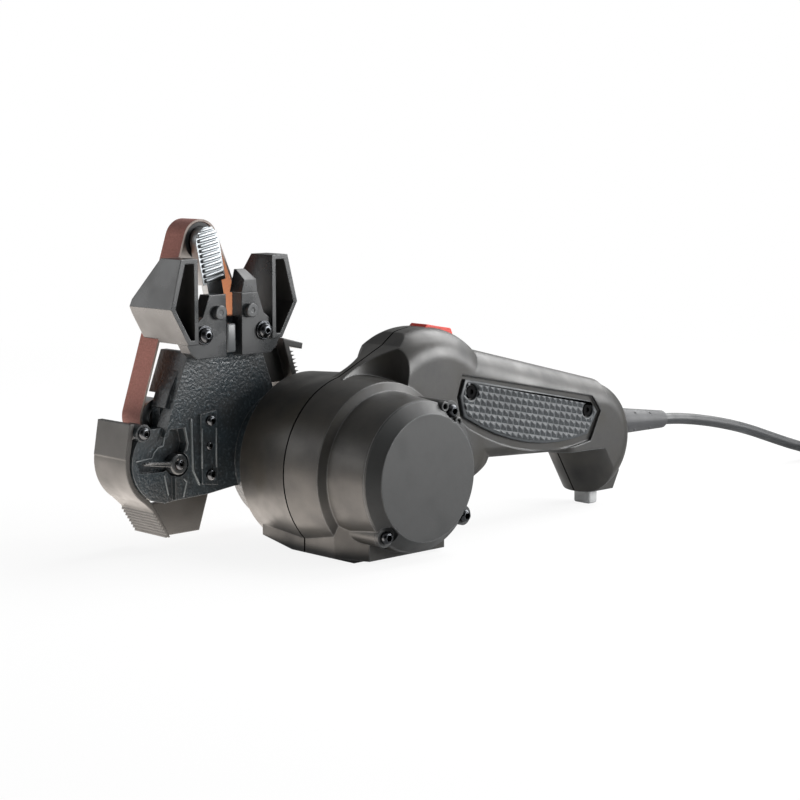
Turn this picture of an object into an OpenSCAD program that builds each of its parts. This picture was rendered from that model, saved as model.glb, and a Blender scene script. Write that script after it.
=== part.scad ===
// Corded belt sharpener for knives and garden tools, millimetres.
// X runs along the motor axis towards the end cap, Y along the handle towards the cord, Z up.
// The origin lies on the table under the motor axis, in the plane where the housing halves meet.

/* [Motor housing] */
// Height of the motor axis above the table
axis_h = 35.2; // [34.6:0.1:40]
// Radius of the barrel at the seam
barrel_r = 39.4; // [38.5:0.1:42]
// Wall of the moulded housing
wall = 2.6; // [2:0.1:3]
// Length of the left half, from the seam
left_len = 33.4; // [32:0.1:33.8]
// Radius of the left half's end face
left_end_r = 34; // [32:0.1:36]
// Place of the conical step on the right half
step_x = 18.3; // [16:0.1:20]
// Radius past the step
nose_r = 33.5; // [32.5:0.1:35]
// Length of the right half, where the end cap sits
cap_x = 39.7; // [39:0.1:42]
// Radius of the housing under the end cap
cap_r = 31.5; // [31:0.1:32.4]
// Thickness of the end cap
cap_t = 5.6; // [5:0.1:7]
// Radius of the flat disc of the end cap
disc_r = 26.3; // [24:0.1:28]
// Half width of the foot block under the barrel
foot_half_w = 28; // [25:0.5:30]
// Thickness of the front foot pad
pad_t = 1.6; // [1:0.1:2.4]

/* [Handle] */
// Radius of the hump behind the motor
hump_r = 42; // [41:0.5:43]
// Distance of the hump's centre behind the motor axis
hump_y = 35; // [34.5:0.5:37]
// Height of the hump's centre
hump_z = 50; // [49.5:0.5:51]
// Rounding of the hump's rims
hump_round = 13; // [12.6:0.1:13.4]
// Radius of the tapered scoops in the hump's sides, at mid height
scoop_r = 22; // [20:0.5:24]
// Half width of the hump and the grip
grip_half_w = 17; // [16.5:0.1:18]
// Slope of the grip's top, degrees
grip_slope = 13.7; // [12:0.1:15]
// Height of the grip's top at the middle of the grip
grip_top_z = 70.6; // [69:0.1:73]
// Height of the grip's underside at the middle of the grip
grip_bottom_z = 30.4; // [29.6:0.1:31]
// Distance of the tail's centre behind the motor axis
tail_y = 140; // [136:0.5:144]
// Radius of the rounded tail
tail_r = 26.6; // [25:0.1:28]
// Depth to which the grip panels are let in
panel_t = 1.6; // [1.2:0.1:1.8]
// Half width of the rear leg
leg_half_w = 9.6; // [9:0.2:10.4]
// Thickness of the rear foot pad
rear_pad_t = 7; // [5:0.5:9]

/* [Belt drive] */
// Width of the sanding belt
belt_w = 12.7; // [10:0.1:14]
// Thickness of the sanding belt
belt_t = 1; // [0.8:0.1:1.4]
// Distance of the belt's near edge beyond the seam
belt_x = 56; // [55.6:0.1:58]
// Radius of the drive pulley
drive_r = 11; // [9:0.5:12]
// Radius of the idler
idler_r = 8; // [7:0.1:8.5]
// Radius of the top wheel
top_r = 8; // [7:0.1:9]
// Idler's place in front of the motor axis
idler_y = -61; // [-63:0.5:-60]
// Idler's height
idler_z = 56; // [55:0.5:58]
// Top wheel's place in front of the motor axis
top_y = -36.9; // [-38:0.1:-35]
// Top wheel's height
top_z = 129.4; // [128:0.1:132]
// Lean of the tensioner, degrees
tension_lean = 11.5; // [10:0.5:13]
// Radius of the motor shaft
shaft_r = 4; // [3.5:0.1:4.2]
// Radius of the wheel and idler axles
axle_r = 2.5; // [2:0.1:2.8]

/* [Cassette] */
// Distance of the textured plate's face beyond the seam
plate_x = 43; // [42.4:0.1:44]
// Thickness of the cassette's plates
plate_t = 3; // [2.4:0.1:3.4]
// Radius of the neck on which the cassette swivels
neck_r = 24; // [22:0.5:25]
// Outer radius of the cassette's collar
collar_r = 30; // [28:0.5:31]
// Depth of the belt guards along the motor axis
guard_depth = 22.5; // [22:0.1:24]
// Wall of the belt guards
guard_t = 2.2; // [1.8:0.1:2.6]
// Radius of the front guard's nose
guard_r = 20; // [19:0.5:21]
// Length of the tracking lever from its hub
lever_len = 18; // [14:0.5:20]
// Radius of the tracking lever's hub
hub_r = 4.4; // [4.2:0.1:5]

/* [Sharpening guide] */
// Middle of the guide in front of the motor axis
guide_y = -34.8; // [-36:0.1:-34]
// Distance of the guide's rim plane beyond the seam
guide_x = 35.2; // [35:0.1:36.5]
// Half distance between the wings' inner walls
wing_in = 20; // [19.5:0.1:22]
// Half distance between the wings' outer corners
wing_out = 34; // [32:0.1:36]
// Height of the wings' lower end
wing_z0 = 87.8; // [86:0.1:89]
// Height of the wings' top
wing_z1 = 123.5; // [122:0.1:125]
// Wall of the wings
wing_wall = 2; // [1.6:0.1:2.4]
// Half width of the centre slot
slot_half = 4.3; // [4:0.1:5]

/* [Cord] */
// Diameter of the cord
cord_d = 5.6; // [5:0.1:6]
// Turns of the coil in each layer
coil_turns = 3.5; // [2.5:1:4.5]
// Radius of the coil's innermost turn
coil_in_r = 22; // [22:1:26]

/* [Clearances] */
// Radial running clearance of shafts and axles
run_fit = 0.05; // [0.02:0.01:0.09]
// Gap between neighbouring pieces
gap = 0.3; // [0.25:0.05:0.4]
// Radial gap of pieces fixed on a shaft
seat_fit = 0.02; // [0.01:0.01:0.04]

/* [Hidden] */
$fn = 64;
BIG = 600;

black = "#26282a";
dark = "#303336";
grey = "#4a4e51";
steel = "#b9bcc0";
rubber = "#1c1d1e";

// Housing, derived
shoulder_r = barrel_r - 1.8;
step_r = barrel_r - 2.3;
step_len = 2;
floor_z = pad_t + wall;
ring_r = 30;
rib_w = 4;
bearing_r = 11;
bearing_w = 7;
rear_bearing_r = 9.5;
rear_bearing_w = 6;
cap_screw_at = [for (a = [58, 226.6, -38.5]) [30.6 * cos(a), axis_h + 30.6 * sin(a)]];
lobe_r = 4.2;
screw_r = 1.4;
screw_hole_r = 1.5;
foot_top = 15.5;
foot_x0 = -left_len + 4;
foot_x1 = 32.8;

// Grip panel outline, as Y and Z
panel_hole_at = [[54.2, 63.2], [131.3, 47.9]];
panel_hole_r = 3.6;
panel_groove = 2.2;
backing_x = grip_half_w - panel_t - 1.6;

// Handle, derived: places are given as Y and Z
grip_mid_y = 105;
grip_round = 12;
under_round = 5;
under_slope = 3;
scoop_at = [grip_half_w + 8, -4];
scoop_mid_z = 75;
scoop_taper = 0.18;
ramp_half_w = 8;
ramp_front = -10;
ramp_outline = [[-30, 63.6], [16.4, 85.3], [25.3, 91.8], [25.3, 140], [-30, 140]];
tail_z = 33;
tail_round = 10;
leg_lean = 31.7;
leg_front_r = grip_half_w + 0.4;
leg_axis = [tail_y + 5.8, 33.1];
boss_r = 4;
stator_half = 13;
brush_x = [22, 28];
holder_reach = 28.2;

// Belt, derived: the belt runs clear of its wheels by the gap
belt_far = belt_x + belt_w;
wheel_x = belt_x + gap;
wheel_w = belt_w - 2 * gap;
wheels = [[top_y, top_z, top_r], [idler_y, idler_z, idler_r], [0, axis_h, drive_r]];
guard_x = plate_x + 3.5;
side_t = plate_t;
guard_far = guard_x + guard_depth;
hub_at = [-60, 37.2];
guard_centre = [-64.8, 38.8];
screw_boss_at = [-77, 52];

// Unit vector and point rules for the belt's tangents
function unit(v) = v / norm(v);
function run_dir(i) = unit([wheels[(i + 1) % 3][0] - wheels[i][0], wheels[(i + 1) % 3][1] - wheels[i][1]]);
function run_len(i) = norm([wheels[(i + 1) % 3][0] - wheels[i][0], wheels[(i + 1) % 3][1] - wheels[i][1]]);
function run_sin(i) = (wheels[i][2] - wheels[(i + 1) % 3][2]) / run_len(i);
// Outward normal of the run from wheel i to the next one
function run_normal(i) = let (d = run_dir(i), s = run_sin(i), c = sqrt(1 - s * s))
    [c * d[1] + s * d[0], -c * d[0] + s * d[1]];
function on_wheel(i, n, r) = [wheels[i][0] + r * n[0], wheels[i][1] + r * n[1]];
function angle_of(v) = atan2(v[1], v[0]);
function wrap_of(i) = let (w = angle_of(run_normal(i)) - angle_of(run_normal((i + 2) % 3)))
    w < 0 ? w + 360 : w;
function belt_part(i) = let (r = wheels[i][2] + gap + belt_t / 2)
    run_len(i) * sqrt(1 - run_sin(i) * run_sin(i)) + r * wrap_of(i) * PI / 180;
echo(belt_length = belt_part(0) + belt_part(1) + belt_part(2));

// Shapes along X: outlines are given as Y and Z
module along_x(x0, x1) {
    translate([x0, 0, 0]) rotate([90, 0, 90]) linear_extrude(x1 - x0) children();
}
module x_rod(r, x0, x1, at = [0, axis_h]) {
    translate([x0, at[0], at[1]]) rotate([0, 90, 0]) cylinder(r = r, h = x1 - x0);
}
module x_ring(r, bore, x0, x1, at = [0, axis_h]) {
    difference() {
        x_rod(r, x0, x1, at);
        x_rod(bore, x0 - 1, x1 + 1, at);
    }
}
module x_turn(outline) {
    translate([0, 0, axis_h]) rotate([0, 90, 0]) rotate_extrude() polygon(outline);
}
module box(low, high) {
    translate(low) cube(high - low);
}
module button_screw(at, x_seat, head_r, head_t, shank) {
    difference() {
        union() {
            x_rod(head_r, x_seat, x_seat + head_t * 0.6, at);
            translate([x_seat + head_t * 0.6, at[0], at[1]]) rotate([0, 90, 0])
                cylinder(r1 = head_r, r2 = head_r * 0.7, h = head_t * 0.4);
            x_rod(screw_r, x_seat - shank, x_seat + 0.1, at);
        }
        translate([x_seat + head_t * 0.45, at[0], at[1]]) rotate([0, 90, 0])
            cylinder(r = head_r * 0.42, h = head_t, $fn = 6);
    }
}

// Motor housing
module barrel_outer() {
    x_turn([[0, -left_len], [left_end_r, -left_len], [shoulder_r, -left_len + 3], [barrel_r, 0],
        [step_r, step_x], [nose_r, step_x + step_len], [cap_r, cap_x], [0, cap_x]]);
}
module barrel_inner() {
    x_turn([[0, -left_len + wall], [left_end_r - wall, -left_len + wall],
        [shoulder_r - wall, -left_len + 3 + wall], [barrel_r - wall, 0], [step_r - wall, step_x - wall / 2],
        [nose_r - wall, step_x + step_len - wall / 2], [cap_r - wall, cap_x + 1], [0, cap_x + 1]]);
}
module foot() {
    intersection() {
        linear_extrude(foot_top) polygon([[foot_x0, -foot_half_w + 2], [foot_x0 + 2.2, -foot_half_w],
            [step_x, -foot_half_w], [foot_x1, -foot_half_w + 6.5], [foot_x1, foot_half_w - 6.5],
            [step_x, foot_half_w], [foot_x0 + 2.2, foot_half_w], [foot_x0, foot_half_w - 2]]);
        rotate([90, 0, 0]) linear_extrude(BIG, center = true) polygon([[foot_x0, pad_t + 4], [-8, pad_t],
            [foot_x1, pad_t], [foot_x1, foot_top], [foot_x0, foot_top]]);
    }
}
// Round drum with rounded rims, cut back all over by the amount e
module drum(r, half_w, round_r, e) {
    rotate([0, 90, 0]) rotate_extrude() {
        translate([0, -(half_w - e)]) square([r - round_r, 2 * (half_w - e)]);
        translate([0, -(half_w - round_r)]) square([r - e, 2 * (half_w - round_r)]);
        for (s = [-1, 1])
            translate([r - round_r, s * (half_w - round_r)]) circle(round_r - e);
    }
}
// The hump's underside rises from the barrel to the grip
module hump(e) {
    under_z = grip_bottom_z + 2;
    difference() {
        union() {
            translate([0, hump_y, hump_z]) drum(hump_r, grip_half_w, hump_round, e);
            box([-ramp_half_w + e, ramp_front + 4 * e, axis_h + 20],
                [ramp_half_w - e, hump_y - 14, hump_z + 39]);
        }
        for (s = [-1, 1])
            translate([s * scoop_at[0], scoop_at[1], 0])
                cylinder(r1 = scoop_r + e - scoop_mid_z * scoop_taper,
                    r2 = scoop_r + e + scoop_mid_z * scoop_taper, h = 2 * scoop_mid_z);
        along_x(-BIG / 2, BIG / 2) translate([0, -1.2 * e]) polygon(ramp_outline);
        along_x(-BIG / 2, BIG / 2) translate([0, 1.3 * e])
            polygon([[0, under_z - 28.8], [hump_y + 37, under_z], [BIG, under_z], [BIG, -BIG], [0, -BIG]]);
    }
}
// Prism along the handle with a rounded upper side, its crest at the origin
module round_top(half_w, round_r, e) {
    for (s = [-1, 1])
        translate([s * (half_w - round_r), -BIG / 2, -round_r]) rotate([-90, 0, 0])
            cylinder(r = round_r - e, h = BIG);
    box([-(half_w - round_r), -BIG / 2, -BIG], [half_w - round_r, BIG / 2, -e]);
    box([-(half_w - e), -BIG / 2, -BIG], [half_w - e, BIG / 2, -round_r]);
}
module grip(e) {
    intersection() {
        box([-(grip_half_w - e), hump_y + 13, -BIG], [grip_half_w - e, tail_y + 6, BIG]);
        translate([0, grip_mid_y, grip_top_z]) rotate([-grip_slope, 0, 0])
            round_top(grip_half_w, grip_round, e);
        translate([0, grip_mid_y, grip_bottom_z]) rotate([-under_slope, 0, 0]) mirror([0, 0, 1])
            round_top(grip_half_w, under_round, e);
    }
}
module tail(e) {
    difference() {
        translate([0, tail_y, tail_z]) drum(tail_r, grip_half_w, tail_round, e);
        difference() {
            along_x(-BIG / 2, BIG / 2) translate([e, e])
                polygon([[0, -BIG], [0, grip_bottom_z - 0.2], [tail_y - 12, grip_bottom_z - 1.4],
                    leg_line(grip_bottom_z - 1.8), leg_line(0), [leg_line(0)[0], -BIG]]);
            leg_round(leg_front_r - e);
        }
    }
}
// Rear leg: leans back, with a half round front that the tail shares
function leg_line(z) = [leg_axis[0] + (leg_axis[1] - z) * tan(leg_lean), z];
module leg_round(r) {
    translate([0, leg_axis[0], leg_axis[1]]) rotate([leg_lean, 0, 0]) cylinder(r = r, h = BIG, center = true);
}
function leg_outline(e) = [[tail_y - 12 + e, 38], [tail_y - 8 + e, 24], [tail_y + 2.4 + e, rear_pad_t + e],
    [tail_y + 18.6 - e, rear_pad_t + e], [tail_y + 23 - e, 15.2], [tail_y + 20 - e, 40]];
module leg(e) {
    intersection() {
        along_x(-leg_half_w + e, leg_half_w - e) polygon(leg_outline(e));
        union() {
            leg_round(leg_front_r - 0.3 - e);
            translate([0, leg_axis[0], leg_axis[1]]) rotate([leg_lean, 0, 0])
                box([-leg_front_r - 1, 0.1, -BIG], [leg_front_r + 1, BIG, BIG]);
        }
    }
}
module handle_form(e) {
    hump(e);
    grip(e);
    tail(e);
    leg(e);
}
// Grip panel outline, drawn in by the amount e; the lower edge is a shallow arc
function panel_outline(e) = concat(
    [[44.8 + e, 61.8], [48 + e, 71.4 - e], [135 - e, 54.2 - e], [140.6 - 1.2 * e, 46.8]],
    [for (t = [0:8]) let (y = 133.6 - e - 81 * t / 8) [y, 31.4 + 1.7 * e + 0.0045 * (y - 112) * (y - 112)]],
    [[47.2 + e, 51.4 + 0.7 * e]]);
relief_at = [0, 163, 37.6];
relief_tilt = -4;
relief_len = 43;
module along_relief() {
    translate(relief_at) rotate([relief_tilt, 0, 0]) rotate([-90, 0, 0]) children();
}
rocker_at = [44.6, 85];
rocker_r = 10;
rocker_half_w = 5;
rocker_pin_r = 1.2;
relief_r = 6.3;
neck_spigot_r = 12.4;
module housing_half(s) {
    low = s > 0 ? 0 : -BIG;
    difference() {
        intersection() {
            union() {
                barrel_outer();
                foot();
                handle_form(0);
                if (s > 0)
                    cap_lobes(cap_x);
            }
            box([low, -BIG, pad_t], [low + BIG, BIG, BIG]);
        }
        difference() {
            intersection() {
                union() {
                    barrel_inner();
                    handle_form(wall);
                }
                box([-BIG, -BIG, floor_z], [BIG, BIG, BIG]);
            }
            x_ring(barrel_r, ring_r + seat_fit, s * (stator_half - rib_w / 2) - rib_w / 2,
                s * (stator_half - rib_w / 2) + rib_w / 2);
            for (p = panel_hole_at)
                x_rod(boss_r, -BIG, BIG, p);
            along_x(s > 0 ? backing_x : -BIG, s > 0 ? BIG : -backing_x) polygon(panel_outline(-2));
            if (s > 0) {
                cap_lobes(cap_x + 2);
                for (a = [0, 180])
                    translate([0, 0, axis_h]) rotate([a, 0, 0])
                        box([brush_x[0] - 2, holder_reach, -4.5], [brush_x[1] + 2, barrel_r, 4.5]);
            }
        }
        if (s < 0)
            x_rod(neck_spigot_r + gap, -left_len - 1, -left_len + wall + 1);
        if (s > 0)
            for (p = cap_screw_at)
                x_rod(screw_hole_r, cap_x - 12, cap_x + 1, p);
        along_x(s > 0 ? grip_half_w - panel_t : -BIG, s > 0 ? BIG : panel_t - grip_half_w)
            polygon(panel_outline(0));
        for (p = panel_hole_at)
            x_rod(screw_hole_r, -BIG, BIG, p);
        x_rod(rocker_r + 0.4, -rocker_half_w - 0.4, rocker_half_w + 0.4, rocker_at);
        along_relief() translate([0, 0, -4]) cylinder(r = relief_r + seat_fit, h = 16);
    }
}
module cap_lobes(x1) {
    for (p = cap_screw_at)
        x_rod(lobe_r, step_x + step_len + 2, x1, p);
}
module housing_left() {
    color(black) housing_half(-1);
}
module housing_right() {
    color(black) housing_half(1);
}
module end_cap() {
    color(grey) difference() {
        union() {
            x_turn([[0, cap_x], [cap_r, cap_x], [cap_r - 0.3, cap_x + 1], [disc_r, cap_x + cap_t],
                [0, cap_x + cap_t]]);
            for (p = cap_screw_at)
                x_rod(lobe_r, cap_x, cap_x + 2, p);
            x_rod(rear_bearing_r + 3.2, cap_x - rear_bearing_w - 0.4, cap_x);
            x_ring(cap_r - wall - gap, cap_r - 2 * wall, cap_x - 3, cap_x);
        }
        x_rod(rear_bearing_r + seat_fit, cap_x - rear_bearing_w - 1, cap_x);
        for (p = cap_screw_at) {
            x_rod(lobe_r + 0.4, cap_x + 2, BIG, p);
            x_rod(screw_hole_r + 0.1, cap_x - 4, BIG, p);
            x_rod(lobe_r + gap, cap_x - 4, cap_x, p);
        }
    }
}
module cap_screws() {
    color(steel) for (p = cap_screw_at)
        difference() {
            union() {
                x_rod(2.75, cap_x + 2, cap_x + 5, p);
                x_rod(screw_r, cap_x - 10, cap_x + 2.1, p);
            }
            translate([cap_x + 3.2, p[0], p[1]]) rotate([0, 90, 0]) cylinder(r = 1.5, h = 3, $fn = 6);
        }
}
module grip_panel(s) {
    difference() {
        along_x(s > 0 ? grip_half_w - panel_t : -grip_half_w, s > 0 ? grip_half_w : -grip_half_w + panel_t)
            polygon(panel_outline(panel_groove));
        for (p = panel_hole_at)
            x_rod(panel_hole_r, -BIG, BIG, p);
    }
}
module grip_panel_left() {
    color(dark) grip_panel(-1);
}
module grip_panel_right() {
    color(dark) grip_panel(1);
}
module grip_screws() {
    seat = grip_half_w - panel_t;
    color(steel) for (p = panel_hole_at)
        difference() {
            union() {
                x_rod(2.8, seat, seat + 1.2, p);
                x_rod(screw_r, -seat + 2, seat + 0.1, p);
            }
            translate([seat + 0.5, p[0], p[1]]) rotate([0, 90, 0]) cylinder(r = 1.3, h = 3, $fn = 6);
        }
}
module front_pad() {
    color(rubber) translate([-8, -foot_half_w + 5, 0]) cube([33, 2 * foot_half_w - 10, pad_t]);
}
module rear_pad() {
    color("#8d9092") box([-5, tail_y + 6.8, 0], [5, tail_y + 13, rear_pad_t]);
}

// Motor, inside the barrel
module stator() {
    color("#8f9296") x_ring(ring_r, 17, -stator_half, stator_half);
}
module field_coils() {
    color("#b5622f") {
        x_ring(27, 19, -stator_half - 5, -stator_half);
        x_ring(27, 19, stator_half, stator_half + 4.5);
    }
}
module bearing_front() {
    color(steel) x_ring(bearing_r, shaft_r + run_fit, -ring_x, -ring_x + bearing_w);
}
module bearing_rear() {
    color(steel) x_ring(rear_bearing_r, shaft_r + run_fit, cap_x - rear_bearing_w, cap_x);
}
module brush_holders() {
    color("#c9a24a") for (s = [0, 180])
        translate([0, 0, axis_h]) rotate([s, 0, 0]) difference() {
            box([brush_x[0] - 1.5, 13, -4], [brush_x[1] + 1.5, holder_reach, 4]);
            box([brush_x[0] - gap / 2, 12, -2.5 - gap / 2],
                [brush_x[1] + gap / 2, holder_reach - 2, 2.5 + gap / 2]);
        }
}
module brushes() {
    color("#2a2a2a") for (s = [0, 180])
        translate([0, 0, axis_h]) rotate([s, 0, 0])
            box([brush_x[0], 9.6 + gap, -2.5], [brush_x[1], holder_reach - 2, 2.5]);
}
module shaft() {
    color(steel) x_rod(shaft_r, -wheel_x - wheel_w, cap_x - 0.6);
}
module armature() {
    color("#7d5a3c") x_ring(16, shaft_r + seat_fit, -14, 14);
}
module commutator() {
    color("#b87333") x_ring(9.6, shaft_r + seat_fit, 18, 29);
}
module fan() {
    color(grey) difference() {
        union() {
            x_rod(8, -27, -20);
            x_rod(27, -27, -25.4);
            for (a = [0:30:330])
                translate([0, 0, axis_h]) rotate([a, 0, 0]) box([-25.5, 7, -0.7], [-20, 26.5, 0.7]);
        }
        x_rod(shaft_r + seat_fit, -28, -19);
    }
}
module drive_pulley() {
    color("#a7abad") x_ring(drive_r, shaft_r + seat_fit, -wheel_x - wheel_w, -wheel_x);
}
module pulley_screw() {
    color(steel) difference() {
        x_rod(5, -wheel_x - wheel_w - 2.4, -wheel_x - wheel_w);
        translate([-wheel_x - wheel_w - 3, 0, axis_h]) rotate([0, 90, 0]) cylinder(r = 2, h = 2, $fn = 6);
    }
}
module switch_body() {
    ear = [rocker_half_w + 0.6, rocker_half_w + 2.4];
    span = grip_half_w - wall;
    color(dark) {
        box([-ear[1], rocker_at[0] - 8, 68.4], [ear[1], rocker_at[0] + 8, 79]);
        for (s = [-1, 1]) {
            box([s > 0 ? ear[0] : -ear[1], rocker_at[0] - 2.2, 78],
                [s > 0 ? ear[1] : -ear[0], rocker_at[0] + 2.2, rocker_at[1] + 1.6]);
            box([-span, rocker_at[0] + s * 2.5 - 5, 70], [span, rocker_at[0] + s * 2.5 - 3, 73]);
        }
        x_rod(rocker_pin_r, -ear[0] - 1, ear[0] + 1, rocker_at);
    }
}
module switch_rocker() {
    color("#d8402b") difference() {
        intersection() {
            x_rod(rocker_r, -rocker_half_w, rocker_half_w, rocker_at);
            along_x(-rocker_half_w, rocker_half_w) translate(rocker_at)
                polygon([[-10, 0], [-10, 8.8], [0, 6.9], [10, 5.2], [10, 0], [3, -3], [-3, -3]]);
        }
        x_rod(rocker_pin_r + run_fit, -BIG, BIG, rocker_at);
    }
}
ring_x = plate_x + plate_t + gap;
ring_t = 2.4;
ring_screw_at = [for (a = [90, 210, 330]) [18 * cos(a), axis_h + 18 * sin(a)]];
module swivel_neck() {
    color("#6d7174") difference() {
        union() {
            x_rod(neck_r, -ring_x, -left_len);
            x_rod(neck_spigot_r, -left_len - 1, -left_len + wall);
        }
        x_rod(bearing_r + seat_fit, -ring_x - 1, -ring_x + bearing_w);
        x_rod(shaft_r + 2, -BIG, BIG);
        for (p = ring_screw_at)
            x_rod(screw_hole_r, -ring_x - 1, -left_len - 2, p);
    }
}
module swivel_ring() {
    color(steel) difference() {
        x_ring(neck_r + 3, shaft_r + 4, -ring_x - ring_t, -ring_x);
        for (p = ring_screw_at)
            x_rod(screw_hole_r, -BIG, BIG, p);
    }
}
module ring_screws() {
    color(steel) for (p = ring_screw_at)
        difference() {
            union() {
                x_rod(2.8, -ring_x - ring_t - 2, -ring_x - ring_t, p);
                x_rod(screw_r, -ring_x - ring_t - 0.1, -ring_x + 6, p);
            }
            translate([-ring_x - ring_t - 3, p[0], p[1]]) rotate([0, 90, 0])
                cylinder(r = 1.3, h = 2.2, $fn = 6);
        }
}

// Cassette: the frame stands inside the belt loop
frame_far = plate_x + 19;
function frame_left(z) = -66.6 + (z - 51.7) * 0.38;
function frame_right(z) = -3 - (z - 51.7) * 0.38;
frame_low = 49.4;
frame_top = 84;
frame_head = 98;
side_far = guard_x + side_t;
head_left = guide_y - wing_in + 1.4;
head_right = guide_y + wing_in - 1.4;
module frame_walls() {
    right_low = 64.6;
    polygon([[frame_left(frame_low), frame_low], [frame_left(frame_top), frame_top],
        [frame_left(frame_top) + plate_t, frame_top],
        [frame_left(frame_low + plate_t) + plate_t, frame_low + plate_t],
        [-31, frame_low + plate_t], [-31, frame_low]]);
    polygon([[frame_right(right_low), right_low], [frame_right(frame_top), frame_top],
        [frame_right(frame_top) - plate_t, frame_top], [frame_right(right_low) - plate_t, right_low]]);
}
module frame_plate() {
    polygon([[frame_left(frame_low), frame_low], [frame_left(frame_top), frame_top], [head_left, frame_top],
        [head_left, frame_head], [head_right, frame_head], [head_right, frame_top],
        [frame_right(frame_top), frame_top], [frame_right(62), 62], [0, 62], [0, 22], [-30, 24.6],
        [-45, 22.8], [-62, 22.2], [-62, frame_low]]);
}
module frame_side() {
    intersection() {
        translate(guard_centre) circle(guard_r - guard_t - gap);
        polygon([[-BIG, -BIG], [-50, -BIG], [-50, 53], [-BIG, 53]]);
    }
    polygon([[-77.5, 53], [-80, 42], [-66, 21], [-52, 22.6], [-52, 53]]);
    translate(screw_boss_at) circle(boss_out_r);
}
// Upper seat of the idler arm's pin, a pad that runs out along the front wall
module arm_lug(z) {
    polygon([[frame_left(z) - 1.7, z], [frame_left(z + 7) - 1.7, z + 7], [frame_left(z + 18) + 0.6, z + 18],
        [frame_left(z + 7) + 5, z + 7], [frame_left(z) + 5.4, z]]);
}
module cassette_frame() {
    color("#2c3033") difference() {
        union() {
            difference() {
                union() {
                    along_x(-plate_x - plate_t, -plate_x) frame_plate();
                    x_rod(collar_r, -plate_x - plate_t, -left_len - 2);
                }
                x_rod(neck_r + run_fit, -plate_x - plate_t - 1, -left_len);
            }
            along_x(-frame_far, -plate_x - 1) frame_walls();
            along_x(-side_far, -plate_x - plate_t + 0.5) frame_side();
            x_rod(boss_out_r, -guard_x, -guard_x + 2.2, screw_boss_at);
            box([-arm_far, idler_y - 3.5, idler_z - arm_half - 6],
                [-plate_x - 1, idler_y + 3.5, idler_z - arm_half]);
            along_x(-arm_far, -plate_x - plate_t - 0.2) arm_lug(idler_z + arm_half);
            tension_sleeve();
        }
        x_rod(idler_r + belt_t + 1.5, -BIG, -arm_far - 0.2, [idler_y, idler_z]);
        box([-belt_x, idler_y - 6, idler_z - arm_half], [-arm_near + gap, idler_y + 6, idler_z + arm_half]);
        translate([-arm_x, idler_y, 0]) cylinder(r = pin_r + seat_fit, h = idler_z + arm_half + 6 + gap);
        x_rod(hub_r + 0.8, -guard_x - 0.6, -guard_x + 4, hub_at);
        along_x(-side_far + pocket_wall, -plate_x + 1) polygon(lever_pocket);
        tension_slot();
        for (p = strip_screw_at)
            x_rod(screw_hole_r, -plate_x - plate_t - 3, -plate_x + 1, p);
        for (s = [-1, 1])
            x_rod(screw_hole_r, -plate_x - plate_t - 1, -plate_x + 1,
                [guide_y + s * guide_screw_dy, guide_screw_z]);
        x_rod(tracking_pin_r + seat_fit, -side_far - 1, -guard_x + 1, hub_at);
        x_rod(screw_hole_r, -side_far - 1, -guard_x + 3, screw_boss_at);
    }
}
// Pocket round the tracking lever, as Y and Z
lever_pocket = [[-80.4, 40.4], [-72.5, 40.9], [-71.4, 43], [-69.3, 44.9], [-66.6, 45.5], [-65.2, 50.5],
    [-64.6, 52.4], [-57.4, 52.4], [-55.9, 45.8], [-56.8, 43.1], [-60, 37], [-66, 34.5], [-78, 35]];
pocket_wall = 1.9;
boss_out_r = 3.6;
arm_x = 51.7;
arm_near = side_far + 0.6;
arm_far = belt_x - 0.6;
arm_half = 5.2;
pin_r = 1.2;
tracking_pin_r = 2.4;
strip_screw_at = [[-44.5, 54.5], [-44.7, 31.2]];
guide_screw_dy = 16;
guide_screw_z = 91.5;
guide_pin_dy = 8.5;
guide_pin_z = 100.6;

// Tensioner: a ribbed pad on a bar that slides down into a sleeve of the frame
bar_half_w = 4;
bar_x = [51.4, 55.4];
sleeve_far = 58.6;
sleeve_floor = 2.4;
bar_low = -55;
sleeve_high = -40;
sleeve_low = -72;
spring_r = 3;
module in_tension() {
    translate([0, top_y, top_z]) rotate([tension_lean, 0, 0]) children();
}
module tension_sleeve() {
    in_tension() box([-sleeve_far, -bar_half_w - 2.4, sleeve_low],
        [-plate_x - 1, bar_half_w + 2.4, sleeve_high]);
}
module tension_slot() {
    in_tension() {
        box([-bar_x[1] - 0.2, -bar_half_w - 0.2, sleeve_low + sleeve_floor],
            [-bar_x[0] + 0.2, bar_half_w + 0.2, sleeve_high + 1]);
        translate([-(bar_x[0] + bar_x[1]) / 2, 0, sleeve_low + sleeve_floor])
            cylinder(r = spring_r + 0.8, h = bar_low - sleeve_low);
    }
}
pad_half_w = 6.2;
pad_len = 25.6;
pad_x = [51.2, 55.4];
module tensioner() {
    rib_n = 10;
    rib_step = (pad_len - 4) / rib_n;
    color("#d5d7d8") in_tension() difference() {
        union() {
            translate([-pad_x[1], 0, 0]) rotate([90, 0, 90]) linear_extrude(pad_x[1] - pad_x[0]) {
                circle(pad_half_w);
                translate([-pad_half_w, pad_half_w - pad_len + 1.6])
                    square([2 * pad_half_w, pad_len - pad_half_w - 1.6]);
            }
            for (i = [0:rib_n - 1])
                translate([-pad_x[0] - 0.5, -pad_half_w + 1.2, 2.6 - i * rib_step])
                    cube([1.2, 2 * pad_half_w - 2.4, 1.3]);
            box([-bar_x[1], -bar_half_w, bar_low], [-bar_x[0], bar_half_w, -8]);
        }
        translate([-BIG, 0, 0]) rotate([0, 90, 0]) cylinder(r = axle_r + seat_fit, h = BIG - pad_x[1] + 3.5);
    }
}
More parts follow.
